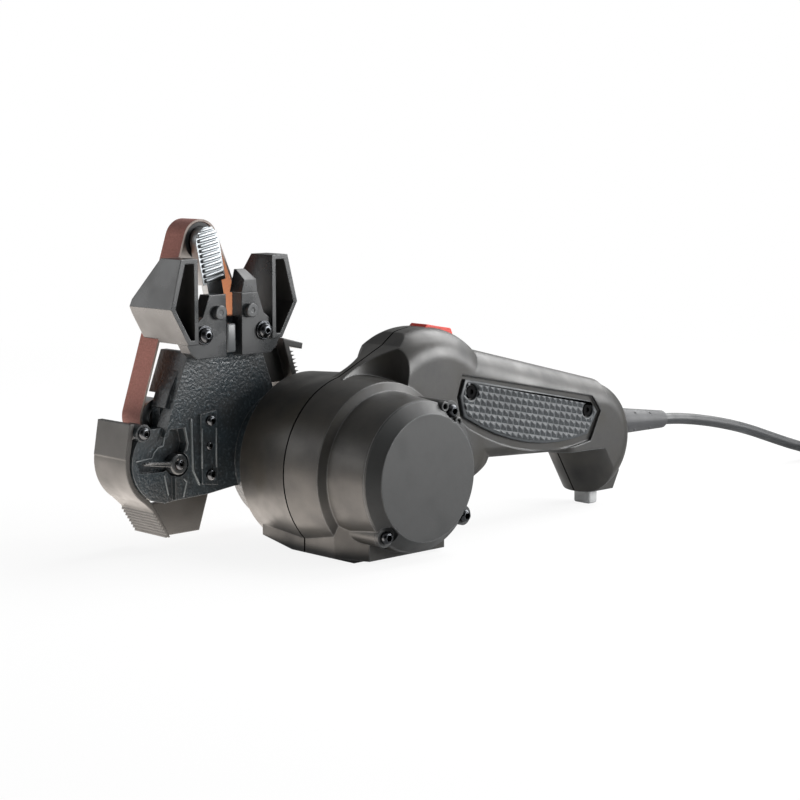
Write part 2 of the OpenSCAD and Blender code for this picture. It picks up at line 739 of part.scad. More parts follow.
module wheel_axle() {
    color(steel) in_tension() translate([-wheel_x - wheel_w - 1.8, 0, 0]) rotate([0, 90, 0]) {
        cylinder(r = axle_r, h = wheel_x + wheel_w + 1.8 - pad_x[1] + 3.4);
        cylinder(r = axle_r + 1.5, h = 1.4);
    }
}
module wheel(r, at) {
    difference() {
        x_rod(r, -wheel_x - wheel_w, -wheel_x, at);
        x_rod(axle_r + run_fit, -BIG, BIG, at);
        for (x = [-wheel_x - wheel_w - 1, -wheel_x - 1])
            x_ring(r - 1.6, axle_r + 1.8, x, x + 2, at);
    }
}
module top_wheel() {
    color("#202122") wheel(top_r, [top_y, top_z]);
}
module idler() {
    color("#c3c6c8") wheel(idler_r, [idler_y, idler_z]);
}
module idler_arm() {
    color(grey) difference() {
        box([-arm_far, idler_y - 3.5, idler_z - arm_half + gap],
            [-arm_near, idler_y + 3.5, idler_z + arm_half - gap]);
        translate([-arm_x, idler_y, 0]) cylinder(r = pin_r + run_fit, h = BIG);
        x_rod(axle_r + seat_fit, -BIG, -arm_far + 2, [idler_y, idler_z]);
    }
}
module arm_pin() {
    color(steel) translate([-arm_x, idler_y, idler_z - arm_half - 6])
        cylinder(r = pin_r, h = 2 * arm_half + 12);
}
module idler_axle() {
    color(steel) {
        x_rod(axle_r, -wheel_x - wheel_w - 1.8, -arm_far + 2, [idler_y, idler_z]);
        x_rod(axle_r + 1.5, -wheel_x - wheel_w - 1.8, -wheel_x - wheel_w - 0.4, [idler_y, idler_z]);
    }
}

// Belt: three straight runs joined by finely stepped arcs round the wheels
function belt_side(out) = [for (i = [0:2])
    let (a = angle_of(run_normal((i + 2) % 3)), r = wheels[i][2] + gap + out)
    for (k = [0:belt_steps]) let (b = a + wrap_of(i) * k / belt_steps) on_wheel(i, [cos(b), sin(b)], r)];
belt_steps = 24;
module belt() {
    color("#8b5a55") along_x(-belt_far, -belt_x) difference() {
        polygon(belt_side(belt_t));
        polygon(belt_side(0));
    }
}
module run_room(i, room) {
    n = run_normal(i);
    p = on_wheel(i, n, wheels[i][2] + gap - room);
    translate([-belt_far - room, p[0], p[1]]) rotate([angle_of(n), 0, 0])
        cube([belt_w + 2 * room, belt_t + 2 * room, run_len(i)]);
}

// Guards
module guard_form(e) {
    intersection() {
        translate(guard_centre) circle(guard_r - e);
        polygon([[-BIG, 20], [-64.8, 20], [-64.8, 42], [-BIG, 42]]);
    }
    polygon([[-64.8, 20 + e], [-64.8, 56], [guard_centre[0] - guard_r + 2.4 + e, 56],
        [guard_centre[0] - guard_r + e, 41.5], [guard_centre[0] - guard_r + 2 + e, 34]]);
    polygon([[-77.5 + e, 23.6 + e], [-71.5 + e, 18.2], [-63.6 + 0.5 * e, 6],
        [-44, 6], [-40, 30], [-64.8, 40]]);
}
module front_guard() {
    rib_n = 8;
    color(black) difference() {
        union() {
            along_x(-guard_far, -guard_x) difference() {
                guard_form(0);
                guard_form(guard_t);
                translate([0, 22]) square([BIG, BIG]);
                polygon([[-64.8, 20], [-64.8, 60], [0, 60], [0, 20]]);
                polygon([[-62, 5], [-70, 19], [-64, 30], [0, 30], [0, 5]]);
            }
            along_x(-guard_x - 6.4, -guard_x - 4)
                polygon([[-70.5, 20.5], [-63.6, 6], [-44, 6], [-38.8, 21.6], [-52, 21.6]]);
            x_rod(boss_out_r, -side_far - 4, -side_far, screw_boss_at);
            translate([-side_far - 4, screw_boss_at[0] - 5, screw_boss_at[1] - 1.5]) cube([4, 5, 3]);
            for (i = [0:rib_n - 1])
                translate([-guard_far, -71.3 + 7.5 * (i + 0.5) / rib_n, 17.9 - 11.6 * (i + 0.5) / rib_n])
                    rotate([-57, 0, 0]) rotate([90, 0, 90]) linear_extrude(guard_depth)
                        polygon([[-0.8, 0.6], [0.6, 0.6], [0.7, -0.8]]);
        }
        x_rod(screw_hole_r, -BIG, BIG, screw_boss_at);
        x_rod(boss_out_r + gap, -side_far, -guard_x + 3, screw_boss_at);
    }
}
module guard_screw() {
    color(steel) button_screw(screw_boss_at, -guard_x + 2.2, 2.7, 2.2, 8);
}
rear_guard_r = drive_r + belt_t + 7;
module rear_guard() {
    tooth_n = 8;
    color(black) {
        along_x(-guard_far, -ring_x - ring_t - 2.6) difference() {
            translate([0, axis_h]) circle(rear_guard_r + guard_t);
            translate([0, axis_h]) circle(rear_guard_r);
            polygon([[3 * rear_guard_r, axis_h + rear_guard_r], [0, axis_h],
                [-rear_guard_r, axis_h - 3 * rear_guard_r], [-BIG, -BIG], [-BIG, BIG], [BIG, BIG]]);
        }
        along_x(-guard_far, -ring_x - ring_t - 2.6)
            polygon([[17.6, axis_h + 6], [20.3, axis_h + 6.6], [9.4, 67], [7, 66]]);
        along_x(-guard_far, -guard_x) {
            polygon([[7.2, 65], [9.4, 66], [4.2, 82], [11.5, 80.4], [12, 83], [0.6, 86]]);
            for (i = [0:tooth_n - 1])
                translate([8.9 - 4.6 * i / tooth_n, 66.6 + 14 * i / tooth_n])
                    polygon([[-0.8, 0], [1.9, 0.9], [-1, 1.5]]);
        }
        along_x(-arm_far, -arm_far + 3)
            polygon([[frame_right(66), 66], [8, 66], [3, 81], [frame_right(81), 81]]);
    }
}
strip_x = 1.6;
module latch_strip() {
    color("#24272a") difference() {
        along_x(-plate_x, -plate_x + strip_x)
            polygon([[-49.5, 57.5], [-41, 58.6], [-40.6, 26.5], [-49, 27.6]]);
        for (p = strip_screw_at)
            x_rod(screw_hole_r, -BIG, BIG, p);
    }
}
module strip_screws() {
    color(steel) {
        for (p = strip_screw_at)
            button_screw(p, -plate_x + strip_x, 2.3, 2, 4.4);
        x_rod(1.5, -plate_x + strip_x, -plate_x + strip_x + 0.8, [-45, 43.6]);
    }
}
module tracking_lever() {
    color(dark) difference() {
        union() {
            x_rod(hub_r, -guard_x - 0.3, -guard_x + 4, hub_at);
            translate([-plate_x - plate_t + 0.8, hub_at[0], hub_at[1]]) rotate([-6, 0, 0])
                box([0, -lever_len, -1.5], [2.6, -hub_r + 1, 1.5]);
        }
        x_rod(tracking_pin_r + run_fit, -BIG, BIG, hub_at);
    }
}
module tracking_screw() {
    color(steel) difference() {
        union() {
            x_rod(tracking_pin_r, -guard_x - side_t, -guard_x + 4.3, hub_at);
            x_rod(2.8, -guard_x + 4.3, -guard_x + 5.2, hub_at);
        }
        translate([-guard_x + 4.8, hub_at[0], hub_at[1]]) rotate([0, 90, 0])
            cylinder(r = 1.2, h = 3, $fn = 6);
    }
}

// Sharpening guide: two mirrored halves
shield_x = guide_x + 1.4;
shield_z = 108;
tab_top = 117.6;
module wing_profile(e) {
    polygon([[wing_in + e, wing_z0 + e], [wing_in + e, wing_z1 - e], [wing_out - 5.4 - e, wing_z1 - e],
        [wing_out - e * 1.05, 103], [wing_out - 8.7 - e * 0.6, wing_z0 + e]]);
}
module guide_half(s) {
    tail = guide_x + 29.5;
    difference() {
        translate([0, guide_y, 0]) mirror([0, s > 0 ? 0 : 1, 0]) {
            intersection() {
                along_x(-tail, -guide_x) difference() {
                    wing_profile(0);
                    wing_profile(wing_wall);
                }
                rotate([90, 0, 0]) linear_extrude(BIG, center = true) polygon([[-guide_x, wing_z1 + 1],
                    [-guide_x - 13, wing_z1 + 1], [-tail + 1.5, 106], [-tail, 100], [-tail, wing_z0 - 1],
                    [-guide_x, wing_z0 - 1]]);
            }
            along_x(-plate_x, -shield_x) polygon([[slot_half, 81.6], [slot_half, shield_z], [13, shield_z],
                [16.4, 99], [wing_in + 0.5, 96], [wing_in + 0.5, wing_z0 + 0.1],
                [wing_out - 8.9, wing_z0 + 0.1], [wing_in + 3, 84], [wing_in, 81.6]]);
        }
        for (i = [0, 2])
            run_room(i, 1);
        for (p = [[guide_screw_dy, guide_screw_z], [guide_pin_dy, guide_pin_z]])
            x_rod(screw_hole_r, -BIG, BIG, [guide_y + s * p[0], p[1]]);
    }
}
module guide_left() {
    color(dark) guide_half(-1);
}
module guide_right() {
    color(dark) guide_half(1);
}
module guide_screws() {
    color(steel) for (s = [-1, 1]) {
        p = [guide_y + s * guide_screw_dy, guide_screw_z];
        x_ring(4.1, screw_r + gap / 2, -shield_x, -shield_x + 0.8, p);
        button_screw(p, -shield_x + 0.8, 3.3, 2.4, plate_x - shield_x + plate_t);
    }
}
module guide_pins() {
    color("#55595c") for (s = [-1, 1]) {
        p = [guide_y + s * guide_pin_dy, guide_pin_z];
        x_rod(3, -shield_x, -shield_x + 2.4, p);
        x_rod(screw_r, -plate_x + 0.4, -shield_x + 0.1, p);
    }
}
module guide_tab() {
    y = guide_y + slot_half;
    color(dark) intersection() {
        along_x(-plate_x - 1.6, -shield_x)
            polygon([[y, shield_z], [y + 2.5, tab_top], [y + 7.5, tab_top], [y + 8.6, shield_z]]);
        rotate([90, 0, 0]) linear_extrude(BIG, center = true)
            polygon([[-plate_x - 2, shield_z - 1], [-plate_x - 2, tab_top], [-plate_x - 0.4, tab_top],
                [-shield_x, tab_top - 4], [-shield_x, shield_z - 1]]);
    }
}
module guide_key() {
    color("#7c8083") box([-plate_x, guide_y - slot_half + gap, 83.2], [-plate_x + 6.6, guide_y + 1, 95.4]);
}
// Tensioner spring, a round wire helix between the bar's end and the sleeve's floor
spring_turns = 6;
wire_r = 0.5;
module tensioner_spring() {
    z0 = sleeve_low + sleeve_floor + wire_r + 0.1;
    z1 = bar_low - wire_r - 0.1;
    n = spring_turns * 8;
    path = [for (i = [0:n]) [spring_r * cos(45 * i), spring_r * sin(45 * i), z0 + (z1 - z0) * i / n]];
    color(steel) in_tension() translate([-(bar_x[0] + bar_x[1]) / 2, 0, 0]) tube(path, wire_r, 6);
}

// Cord
cord_r = cord_d / 2;
coil_pitch = cord_d + 0.6;
tie_t = 0.8;
coil_z0 = cord_r + tie_t + 0.2;
coil_out_r = coil_in_r + coil_turns * coil_pitch;
coil_at = [coil_out_r, 360];
coil_lead = 6;
// Free stretch of the cord, from the strain relief to the coil
lead_route = [[0, 205.9, 34.6], [0, 216, 33.9], [0, 228, 32.5], [0, 240, 30.6], [0, 254, 27.9],
    [0, 268, 24.7], [0, 282, 20.9], [0, 296, 16.6], [0, 310, 12.3], [0, 324, 8.3], [0, 336, 5.4],
    [0, 346, 4], [0, 354, 3.8]];
function tangent(p, i) = unit(p[min(i + 1, len(p) - 1)] - p[max(i - 1, 0)]);
// Closed tube of n sides round a list of points
module tube(p, r, n) {
    m = len(p);
    rings = [for (i = [0:m - 1]) let (t = tangent(p, i),
            u = unit(cross(t, abs(t[2]) > 0.9 ? [1, 0, 0] : [0, 0, 1])), v = cross(u, t))
        for (k = [0:n - 1]) p[i] + r * (cos(360 * k / n) * u + sin(360 * k / n) * v)];
    sides = [for (i = [0:m - 2]) for (k = [0:n - 1]) let (a = i * n + k, b = i * n + (k + 1) % n)
        each [[a, a + n, b + n], [a, b + n, b]]];
    caps = [for (k = [1:n - 2]) each [[0, k, k + 1], [(m - 1) * n, (m - 1) * n + k + 1, (m - 1) * n + k]]];
    polyhedron(rings, concat(sides, caps));
}
// Coil: spirals in on the table, climbs in the half turn where it reverses, and spirals out on top
turn_rings = 24;
in_n = coil_turns * turn_rings;
climb_n = turn_rings / 2;
climb_inset = 1.5;
function coil_radius(i) = i <= in_n ? coil_out_r - coil_pitch * i / turn_rings
    : i <= in_n + climb_n ? coil_in_r - climb_inset * sin(180 * (i - in_n) / climb_n)
    : coil_in_r + coil_pitch * (i - in_n - climb_n) / turn_rings;
function ease(t) = t * t * (3 - 2 * t);
function coil_height(i) = coil_z0 + coil_pitch * ease(min(max((i - in_n) / climb_n, 0), 1));
function coil_point(i) = let (a = 180 - 360 * i / turn_rings)
    [coil_at[0] + coil_radius(i) * cos(a), coil_at[1] + coil_radius(i) * sin(a), coil_height(i)];
coil_n = 2 * in_n + climb_n;
coil_body = [for (i = [0:coil_n]) coil_point(i)];
coil_end_dir = unit([for (k = [0:1]) coil_body[coil_n][k] - coil_body[coil_n - 1][k]]);
coil_route = concat([coil_body[0] - [0, coil_lead, 0]], coil_body,
    [for (d = [7, 14]) coil_body[coil_n] + d * [coil_end_dir[0], coil_end_dir[1], 0]]);
coil_gaps = [for (i = [0:2:coil_n]) for (j = [i + climb_n:1:coil_n]) norm(coil_body[i] - coil_body[j])];
echo(coil_self_gap = min(coil_gaps) - cord_d);
function path_len(p, i = 1) = i < len(p) ? norm(p[i] - p[i - 1]) + path_len(p, i + 1) : 0;
echo(cord_length = path_len(lead_route) + path_len(coil_route));
plug_at = coil_route[len(coil_route) - 1];
plug_turn = atan2(coil_end_dir[1], coil_end_dir[0]);
plug_half_h = plug_at[2];
module strain_relief() {
    color(rubber) along_relief() difference() {
        union() {
            translate([0, 0, -4]) cylinder(r = relief_r, h = 12);
            translate([0, 0, -5.2]) cylinder(r = relief_r + 1.1, h = 2.2);
            translate([0, 0, 7.9]) cylinder(r1 = 6.5, r2 = 4.3, h = relief_len - 7.9);
        }
        for (z = [18, 30])
            for (a = [45:90:315])
                rotate([0, 0, a]) translate([6.2 - (z - 8) * 0.063, 0, z]) sphere(r = 0.8);
    }
}
module cord_lead() {
    color(rubber) tube(lead_route, cord_r, 10);
}
module cord_coil() {
    color(rubber) tube(coil_route, cord_r, 6);
}
module cord_tie() {
    low = [coil_at[0] - 5, coil_at[1] + coil_in_r - cord_r - 1.6, 0];
    high = [coil_at[0] + 5, coil_at[1] + coil_out_r + cord_r + 0.8,
        coil_z0 + coil_pitch + cord_r + 0.4 + tie_t];
    edge = [-1, tie_t, tie_t];
    color("#3a3d40") difference() {
        box(low, high);
        box(low + edge, high - edge);
    }
}
module plug_body() {
    color(rubber) translate([plug_at[0], plug_at[1], 0]) rotate([0, 0, plug_turn]) union() {
        translate([0, 0, plug_half_h]) rotate([0, 90, 0]) cylinder(r1 = 4.2, r2 = 6, h = 14);
        box([13, -11, 0], [34, 11, 2 * plug_half_h]);
    }
}
module plug_blades() {
    color("#c8a85a") translate([plug_at[0], plug_at[1], 0]) rotate([0, 0, plug_turn])
        for (s = [-1, 1])
            box([34, s * 6.35 - 0.75, plug_half_h - 3.2], [51, s * 6.35 + 0.75, plug_half_h + 3.2]);
}

housing_left();
housing_right();
end_cap();
cap_screws();
grip_panel_left();
grip_panel_right();
grip_screws();
front_pad();
rear_pad();
stator();
field_coils();
bearing_front();
bearing_rear();
brush_holders();
brushes();
switch_body();
swivel_neck();
swivel_ring();
ring_screws();
shaft();
armature();
commutator();
fan();
drive_pulley();
pulley_screw();
switch_rocker();
cassette_frame();
latch_strip();
strip_screws();
front_guard();
guard_screw();
rear_guard();
belt();
guide_left();
guide_right();
guide_screws();
guide_pins();
guide_tab();
guide_key();
arm_pin();
tracking_lever();
tracking_screw();
idler_arm();
idler_axle();
idler();
tensioner();
wheel_axle();
tensioner_spring();
top_wheel();
strain_relief();
cord_lead();
cord_coil();
cord_tie();
plug_body();
plug_blades();
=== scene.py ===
# %% [markdown]
# # Belt sharpener for knives and tools
# This lesson dresses a CAD model of a corded belt sharpener. The CAD pieces come in as a fixed frame, in
# metres. Pieces whose shape is right keep it and get a finish; pieces that need more, such as the belt or
# the cord, are modelled here and stand for the CAD piece.

# %% Frame
import math
import bmesh
import bpy
from mathutils import Matrix, Vector


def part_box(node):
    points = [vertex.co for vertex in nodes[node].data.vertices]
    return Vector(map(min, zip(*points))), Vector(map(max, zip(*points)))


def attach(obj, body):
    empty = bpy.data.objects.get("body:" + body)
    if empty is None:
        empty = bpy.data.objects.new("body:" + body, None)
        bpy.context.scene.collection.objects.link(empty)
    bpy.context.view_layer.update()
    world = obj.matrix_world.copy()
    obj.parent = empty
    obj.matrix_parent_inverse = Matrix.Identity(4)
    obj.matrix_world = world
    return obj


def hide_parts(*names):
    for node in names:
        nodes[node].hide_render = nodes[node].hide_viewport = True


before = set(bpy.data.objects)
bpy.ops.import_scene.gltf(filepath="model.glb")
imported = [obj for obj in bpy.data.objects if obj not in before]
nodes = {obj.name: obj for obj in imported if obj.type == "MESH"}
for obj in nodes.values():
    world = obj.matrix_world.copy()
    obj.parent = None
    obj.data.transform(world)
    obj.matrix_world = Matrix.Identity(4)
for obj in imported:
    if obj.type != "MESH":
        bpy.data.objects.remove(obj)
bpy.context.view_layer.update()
MM = 0.001

# %% [markdown]
# ## Camera
# The camera stands where the photographer stood: a little above the table, in front of the motor's end
# cap and left of the handle. A long lens keeps the barrel's circles round. The place follows from one
# point of the object, the middle of the end cap's disc, from its place in the picture and its distance,
# so the framing can be read from the numbers.

# %% Camera
PICTURE = 800
LENS, SENSOR = 90.0, 36.0
AZIMUTH, ELEVATION = math.radians(46.2), math.radians(7.6)
DISC_X, AXIS_H = 45.3, 35.2
AIM, AIM_PIXEL, AIM_DEPTH = Vector((DISC_X, 0, AXIS_H)) * MM, (428.9, 478.3), 0.8168

right = Vector((math.cos(AZIMUTH), math.sin(AZIMUTH), 0))
back = Vector((math.sin(AZIMUTH) * math.cos(ELEVATION), -math.cos(AZIMUTH) * math.cos(ELEVATION),
               math.sin(ELEVATION)))
up = back.cross(right)
focal = LENS / SENSOR * PICTURE
across, rise = (AIM_PIXEL[0] - PICTURE / 2) / focal, (PICTURE / 2 - AIM_PIXEL[1]) / focal
lens = bpy.data.cameras.new("studio_camera")
lens.lens, lens.sensor_width, lens.sensor_fit = LENS, SENSOR, "HORIZONTAL"
lens.clip_start, lens.clip_end = 0.01, 30
camera = bpy.data.objects.new("studio_camera", lens)
turn = Matrix((right, up, back)).transposed().to_4x4()
camera.matrix_world = Matrix.Translation(AIM - AIM_DEPTH * (across * right + rise * up - back)) @ turn
bpy.context.scene.collection.objects.link(camera)
bpy.context.scene.camera = camera
print("camera at", [round(c, 3) for c in camera.matrix_world.translation])

# %% [markdown]
# ## Cord
# A mains lead is a fixed length of round flexible cord. It leaves the strain relief, sags to the table
# and is put away in a coil: round and round inwards on the table, up in the half turn where it reverses,
# and outwards again on top. One Bezier spline with a round bevel follows the same points as the CAD tube;
# each knot's radius is the cord's own.

# %% Cord
CORD_D = 5.6
LEAD = [(205.9, 34.6), (216, 33.9), (228, 32.5), (240, 30.6), (254, 27.9), (268, 24.7), (282, 20.9),
        (296, 16.6), (310, 12.3), (324, 8.3), (336, 5.4), (346, 4), (354, 3.8)]
COIL_IN_R, COIL_TURNS, COIL_PITCH, COIL_Z = 22, 3.5, CORD_D + 0.6, 3.8
TURN_STEPS, CLIMB_INSET, PLUG_RUN = 24, 1.5, (7, 14)
COIL_OUT_R = COIL_IN_R + COIL_TURNS * COIL_PITCH
COIL_AT = (COIL_OUT_R, 360)
IN_STEPS, CLIMB_STEPS = int(COIL_TURNS * TURN_STEPS), TURN_STEPS // 2


def coil_point(i):
    """Point i of the coil, in millimetres."""
    climb = min(max((i - IN_STEPS) / CLIMB_STEPS, 0), 1)
    if i <= IN_STEPS:
        radius = COIL_OUT_R - COIL_PITCH * i / TURN_STEPS
    elif i <= IN_STEPS + CLIMB_STEPS:
        radius = COIL_IN_R - CLIMB_INSET * math.sin(math.pi * climb)
    else:
        radius = COIL_IN_R + COIL_PITCH * (i - IN_STEPS - CLIMB_STEPS) / TURN_STEPS
    angle = math.pi - 2 * math.pi * i / TURN_STEPS
    return Vector((COIL_AT[0] + radius * math.cos(angle), COIL_AT[1] + radius * math.sin(angle),
                   COIL_Z + COIL_PITCH * climb * climb * (3 - 2 * climb)))


lead = [Vector((0, y, z)) for y, z in LEAD]
coil = [coil_point(i) for i in range(2 * IN_STEPS + CLIMB_STEPS + 1)]
coil_end = (coil[-1] - coil[-2]).normalized()
coil_end.z = 0
cord_route = lead + coil + [coil[-1] + step * coil_end for step in PLUG_RUN]
cord_curve = bpy.data.curves.new("mains_cord", "CURVE")
cord_curve.dimensions = "3D"
cord_curve.bevel_depth, cord_curve.bevel_resolution = 1.0, 5
cord_curve.resolution_u = 6
cord_curve.use_fill_caps = True
spline = cord_curve.splines.new("BEZIER")
spline.bezier_points.add(len(cord_route) - 1)
for knot, place in zip(spline.bezier_points, cord_route):
    knot.co, knot.radius = place * MM, CORD_D / 2 * MM
    knot.handle_left_type = knot.handle_right_type = "AUTO"
cord = bpy.data.objects.new("mains_cord", cord_curve)
bpy.context.scene.collection.objects.link(cord)
bpy.context.view_layer.update()
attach(cord, "body")
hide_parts("cord_lead", "cord_coil")

# %% [markdown]
# ## Tools for the finishes
# Every finish is a small tree of shader nodes. One function turns a hex colour into the linear values
# that Blender works in, one adds a node, and one starts a finish with its shader and the object's
# coordinates. The coordinates are in metres, so a pattern of a given size in millimetres has a scale of
# 1000 / size.

# %% Tools for the finishes


def linear(hex_colour):
    """An sRGB hex colour as linear red, green, blue and alpha."""
    channels = [int(hex_colour[i:i + 2], 16) / 255 for i in (1, 3, 5)]
    return tuple(c / 12.92 if c <= 0.04045 else ((c + 0.055) / 1.055) ** 2.4 for c in channels) + (1.0,)


def add(tree, kind, inputs=None, **settings):
    """Adds one node: its settings, then its inputs, each a value or another node's output."""
    made = tree.nodes.new("ShaderNode" + kind)
    for name, value in settings.items():
        setattr(made, name, value)
    for name, value in (inputs or {}).items():
        if isinstance(value, bpy.types.NodeSocket):
            tree.links.new(value, made.inputs[name])
        else:
            made.inputs[name].default_value = value
    return made


def start_finish(name, constants):
    """A new material with its shader, the constants set on it, and the object's coordinates."""
    material = bpy.data.materials.new(name)
    material.use_nodes = True
    tree = material.node_tree
    tree.nodes.clear()
    shader = add(tree, "BsdfPrincipled", constants)
    add(tree, "OutputMaterial", {"Surface": shader.outputs["BSDF"]})
    return material, tree, shader, add(tree, "TexCoord").outputs["Object"]


def dress(material, *names):
    """Gives the named CAD nodes one material."""
    for name in names:
        nodes[name].data.materials.clear()
        nodes[name].data.materials.append(material)
    print(material.name, "on", ", ".join(names))


print("finish tools ready")

# %% [markdown]
# ## Moulded plastic
# Almost everything here is injection moulded: nylon with glass fibre, ABS, acetal, soft grip rubber. What
# the eye reads is the mould's own surface, so each has a grain of a given size and depth, and tone and
# gloss that drift in soft patches where hands have been. A Bevel node rounds the edges' shading, as a real
# mould does, and where its normal leaves the face's own there is an edge, which is painted a little paler
# as a painted highlight. Flecks are a paler colour painted on the grains' tops as painted glints; a coat
# is the gloss of a polished mould. One function with these few measures serves every plastic.

# %% Moulded plastic
PATCH_MM, GLOSS_LOSS, GLOSS_GAIN = 14, 0.13, 0.1
# The paler grey below is painted on the edges as a painted highlight
EDGE_HIGHLIGHT_GREY, SEAM_BLACK = "#8a8d8f", "#030303"


def moulded(name, tones, grain_mm, depth_mm, rough, edge_mm=0.4, grain_glint_tone=None, coat=0.0, highlight_share=0.3,
            seam_mm=0):
    """Plastic of two tones: grain, a painted highlight on the edges and, where given, painted glints on
    the grains, gloss and a seam at X = 0.
    """
    material, tree, shader, place = start_finish(
        name, {"IOR": 1.5, "Coat Weight": coat, "Coat Roughness": 0.12})
    patch = add(tree, "TexNoise", {"Vector": place, "Scale": 1000 / PATCH_MM, "Detail": 4.0})
    drift = add(tree, "MapRange", {"Value": patch.outputs["Fac"], "From Min": 0.3, "From Max": 0.7})
    tint = add(tree, "Mix", {"Factor": drift.outputs["Result"], "A": linear(tones[0]),
                             "B": linear(tones[1])}, data_type="RGBA")
    gloss = add(tree, "MapRange", {"Value": drift.outputs["Result"], "To Min": rough + GLOSS_LOSS,
                                   "To Max": rough - GLOSS_GAIN})
    grain = add(tree, "TexNoise", {"Vector": place, "Scale": 1000 / grain_mm, "Detail": 2.0})
    colour, height = tint.outputs["Result"], grain.outputs["Fac"]
    # A paler colour on the grains' tops: painted glints
    if grain_glint_tone:
        painted_grain_glint = add(tree, "MapRange", {"Value": height, "From Min": 0.56, "From Max": 0.7})
        colour = add(tree, "Mix", {"Factor": painted_grain_glint.outputs["Result"], "A": colour, "B": linear(grain_glint_tone)},
                     data_type="RGBA").outputs["Result"]
    # Where the Bevel normal leaves the face's own, the colour is mixed paler: a painted highlight on the
    # edges
    edge = add(tree, "Bevel", {"Radius": edge_mm * MM}, samples=6)
    face = add(tree, "NewGeometry")
    lie = add(tree, "VectorMath", {0: edge.outputs["Normal"], 1: face.outputs["Normal"]},
              operation="DOT_PRODUCT")
    painted_edge_light = add(tree, "MapRange", {"Value": lie.outputs["Value"], "From Min": 0.99, "From Max": 0.88,
                                    "To Max": highlight_share})
    colour = add(tree, "Mix", {"Factor": painted_edge_light.outputs["Result"], "A": colour, "B": linear(EDGE_HIGHLIGHT_GREY)},
                 data_type="RGBA").outputs["Result"]
    if seam_mm:
        axes = add(tree, "SeparateXYZ", {"Vector": place})
        side = add(tree, "Math", {0: axes.outputs["X"]}, operation="ABSOLUTE")
        joint = add(tree, "Math", {0: side.outputs[0], 1: seam_mm * MM}, operation="LESS_THAN")
        colour = add(tree, "Mix", {"Factor": joint.outputs[0], "A": colour, "B": linear(SEAM_BLACK)},
                     data_type="RGBA").outputs["Result"]
        shine = add(tree, "Math", {0: 0.5, 1: joint.outputs[0]}, operation="SUBTRACT", use_clamp=True)
        tree.links.new(shine.outputs[0], shader.inputs["Specular IOR Level"])
    relief = add(tree, "Bump", {"Height": height, "Distance": depth_mm * MM,
                                "Normal": edge.outputs["Normal"]})
    tree.links.new(colour, shader.inputs["Base Color"])
    tree.links.new(gloss.outputs["Result"], shader.inputs["Roughness"])
    tree.links.new(relief.outputs["Normal"], shader.inputs["Normal"])
    return material


print("moulded plastic: patches of", PATCH_MM, "mm")

# %% [markdown]
# ## Housing, cassette and guide
# The big mouldings differ less in colour than in surface. The housing is satin and worn by hands, the end
# cap is duller, the cassette's plate sparkles, and the guards and the guide are smooth. Their CAD shapes
# are right, so they stay and only get a finish.

# %% Housing, cassette and guide
# Glass-filled nylon from a spark-eroded mould: satin black, warm where hands rub, dark at the seam
housing_nylon = moulded("housing_glass_nylon", ("#131312", "#2d2b27"), 0.6, 0.03, 0.38, 1.0, seam_mm=0.4)
dress(housing_nylon, "housing_left", "housing_right")
# Nylon from a finely blasted mould: duller and greyer, with an even grain
cap_nylon = moulded("end_cap_matt_nylon", ("#222323", "#2b2c2c"), 0.5, 0.03, 0.46, 0.5)
dress(cap_nylon, "end_cap")
# Nylon from a coarsely etched mould: blue black; its grains sparkle by their bumps, and their tops are
# painted paler as painted glints
cassette_nylon = moulded("cassette_etched_nylon", ("#12171a", "#222a2f"), 1.3, 0.3, 0.36, 0.4, "#343d42")
dress(cassette_nylon, "cassette_frame", "latch_strip", "idler_arm")
# ABS from a polished mould: smooth enough to show broad soft reflections of the table
guard_abs = moulded("guard_polished_abs", ("#262625", "#2d2c2a"), 0.5, 0.003, 0.42, 0.8, highlight_share=0.15)
dress(guard_abs, "front_guard", "rear_guard")
# Acetal from a polished mould: smooth, even and glossier than the guards
guide_acetal = moulded("guide_smooth_acetal", ("#17191b", "#1f2224"), 0.5, 0.003, 0.28, 0.5, highlight_share=0.12)
dress(guide_acetal, "guide_left", "guide_right", "guide_tab")

# %% [markdown]
# ## Hollows of the guide's wings
# The inside of each wing is painted near black as painted shade of the deep hollow, with a rough finish
# that gives little shine. A CAD mesh keeps its shape, but its faces may take a second material. So each
# face is asked where it lies and which way it looks: outside the shields, above the wing's foot, and
# facing the middle of the hollow.

# %% Hollows of the guide's wings
# Near black painted shade in the wing's hollow, rough so that it has almost no shine: the hollow reads as
# a hole
hollow_painted_shade = moulded("guide_hollow_painted_shade", ("#040404", "#080808"), 0.5, 0.02, 0.85, highlight_share=0.0)
GUIDE_Y, WING_IN, WING_MID, WING_LOW = -34.8, 20.6, (26.0, 105.0), 88.3
for name in ("guide_left", "guide_right"):
    wing = nodes[name]
    wing.data.materials.append(hollow_painted_shade)
    hollow = 0
    for face in wing.data.polygons:
        spot, facing = wing.matrix_world @ face.center / MM, face.normal
        side = math.copysign(1, spot.y - GUIDE_Y)
        inward = (GUIDE_Y + side * WING_MID[0] - spot.y) * facing.y + (WING_MID[1] - spot.z) * facing.z
        outside = abs(spot.y - GUIDE_Y) > WING_IN and spot.z > WING_LOW
        if outside and inward > 0 and abs(facing.x) < 0.5:
            face.material_index = 1
            hollow += 1
    print(name, "has", hollow, "faces in its hollow")

# %% [markdown]
# ## Rubber, cord and inner mouldings
# The soft and hidden pieces keep their CAD shapes too. Rubber and fabric are dull because their surface is
# rough at a scale too small to see; the cord's sheath is smooth and keeps a little shine.

# %% Rubber, cord and inner mouldings
# Rubber tyre, ground to size: dull black
dress(moulded("wheel_black_rubber", ("#18191a", "#222324"), 0.4, 0.02, 0.55), "top_wheel")
# Moulded rubber foot: the dullest black, with no highlight
dress(moulded("foot_black_rubber", ("#222222", "#2c2c2c"), 0.5, 0.02, 0.7), "front_pad")
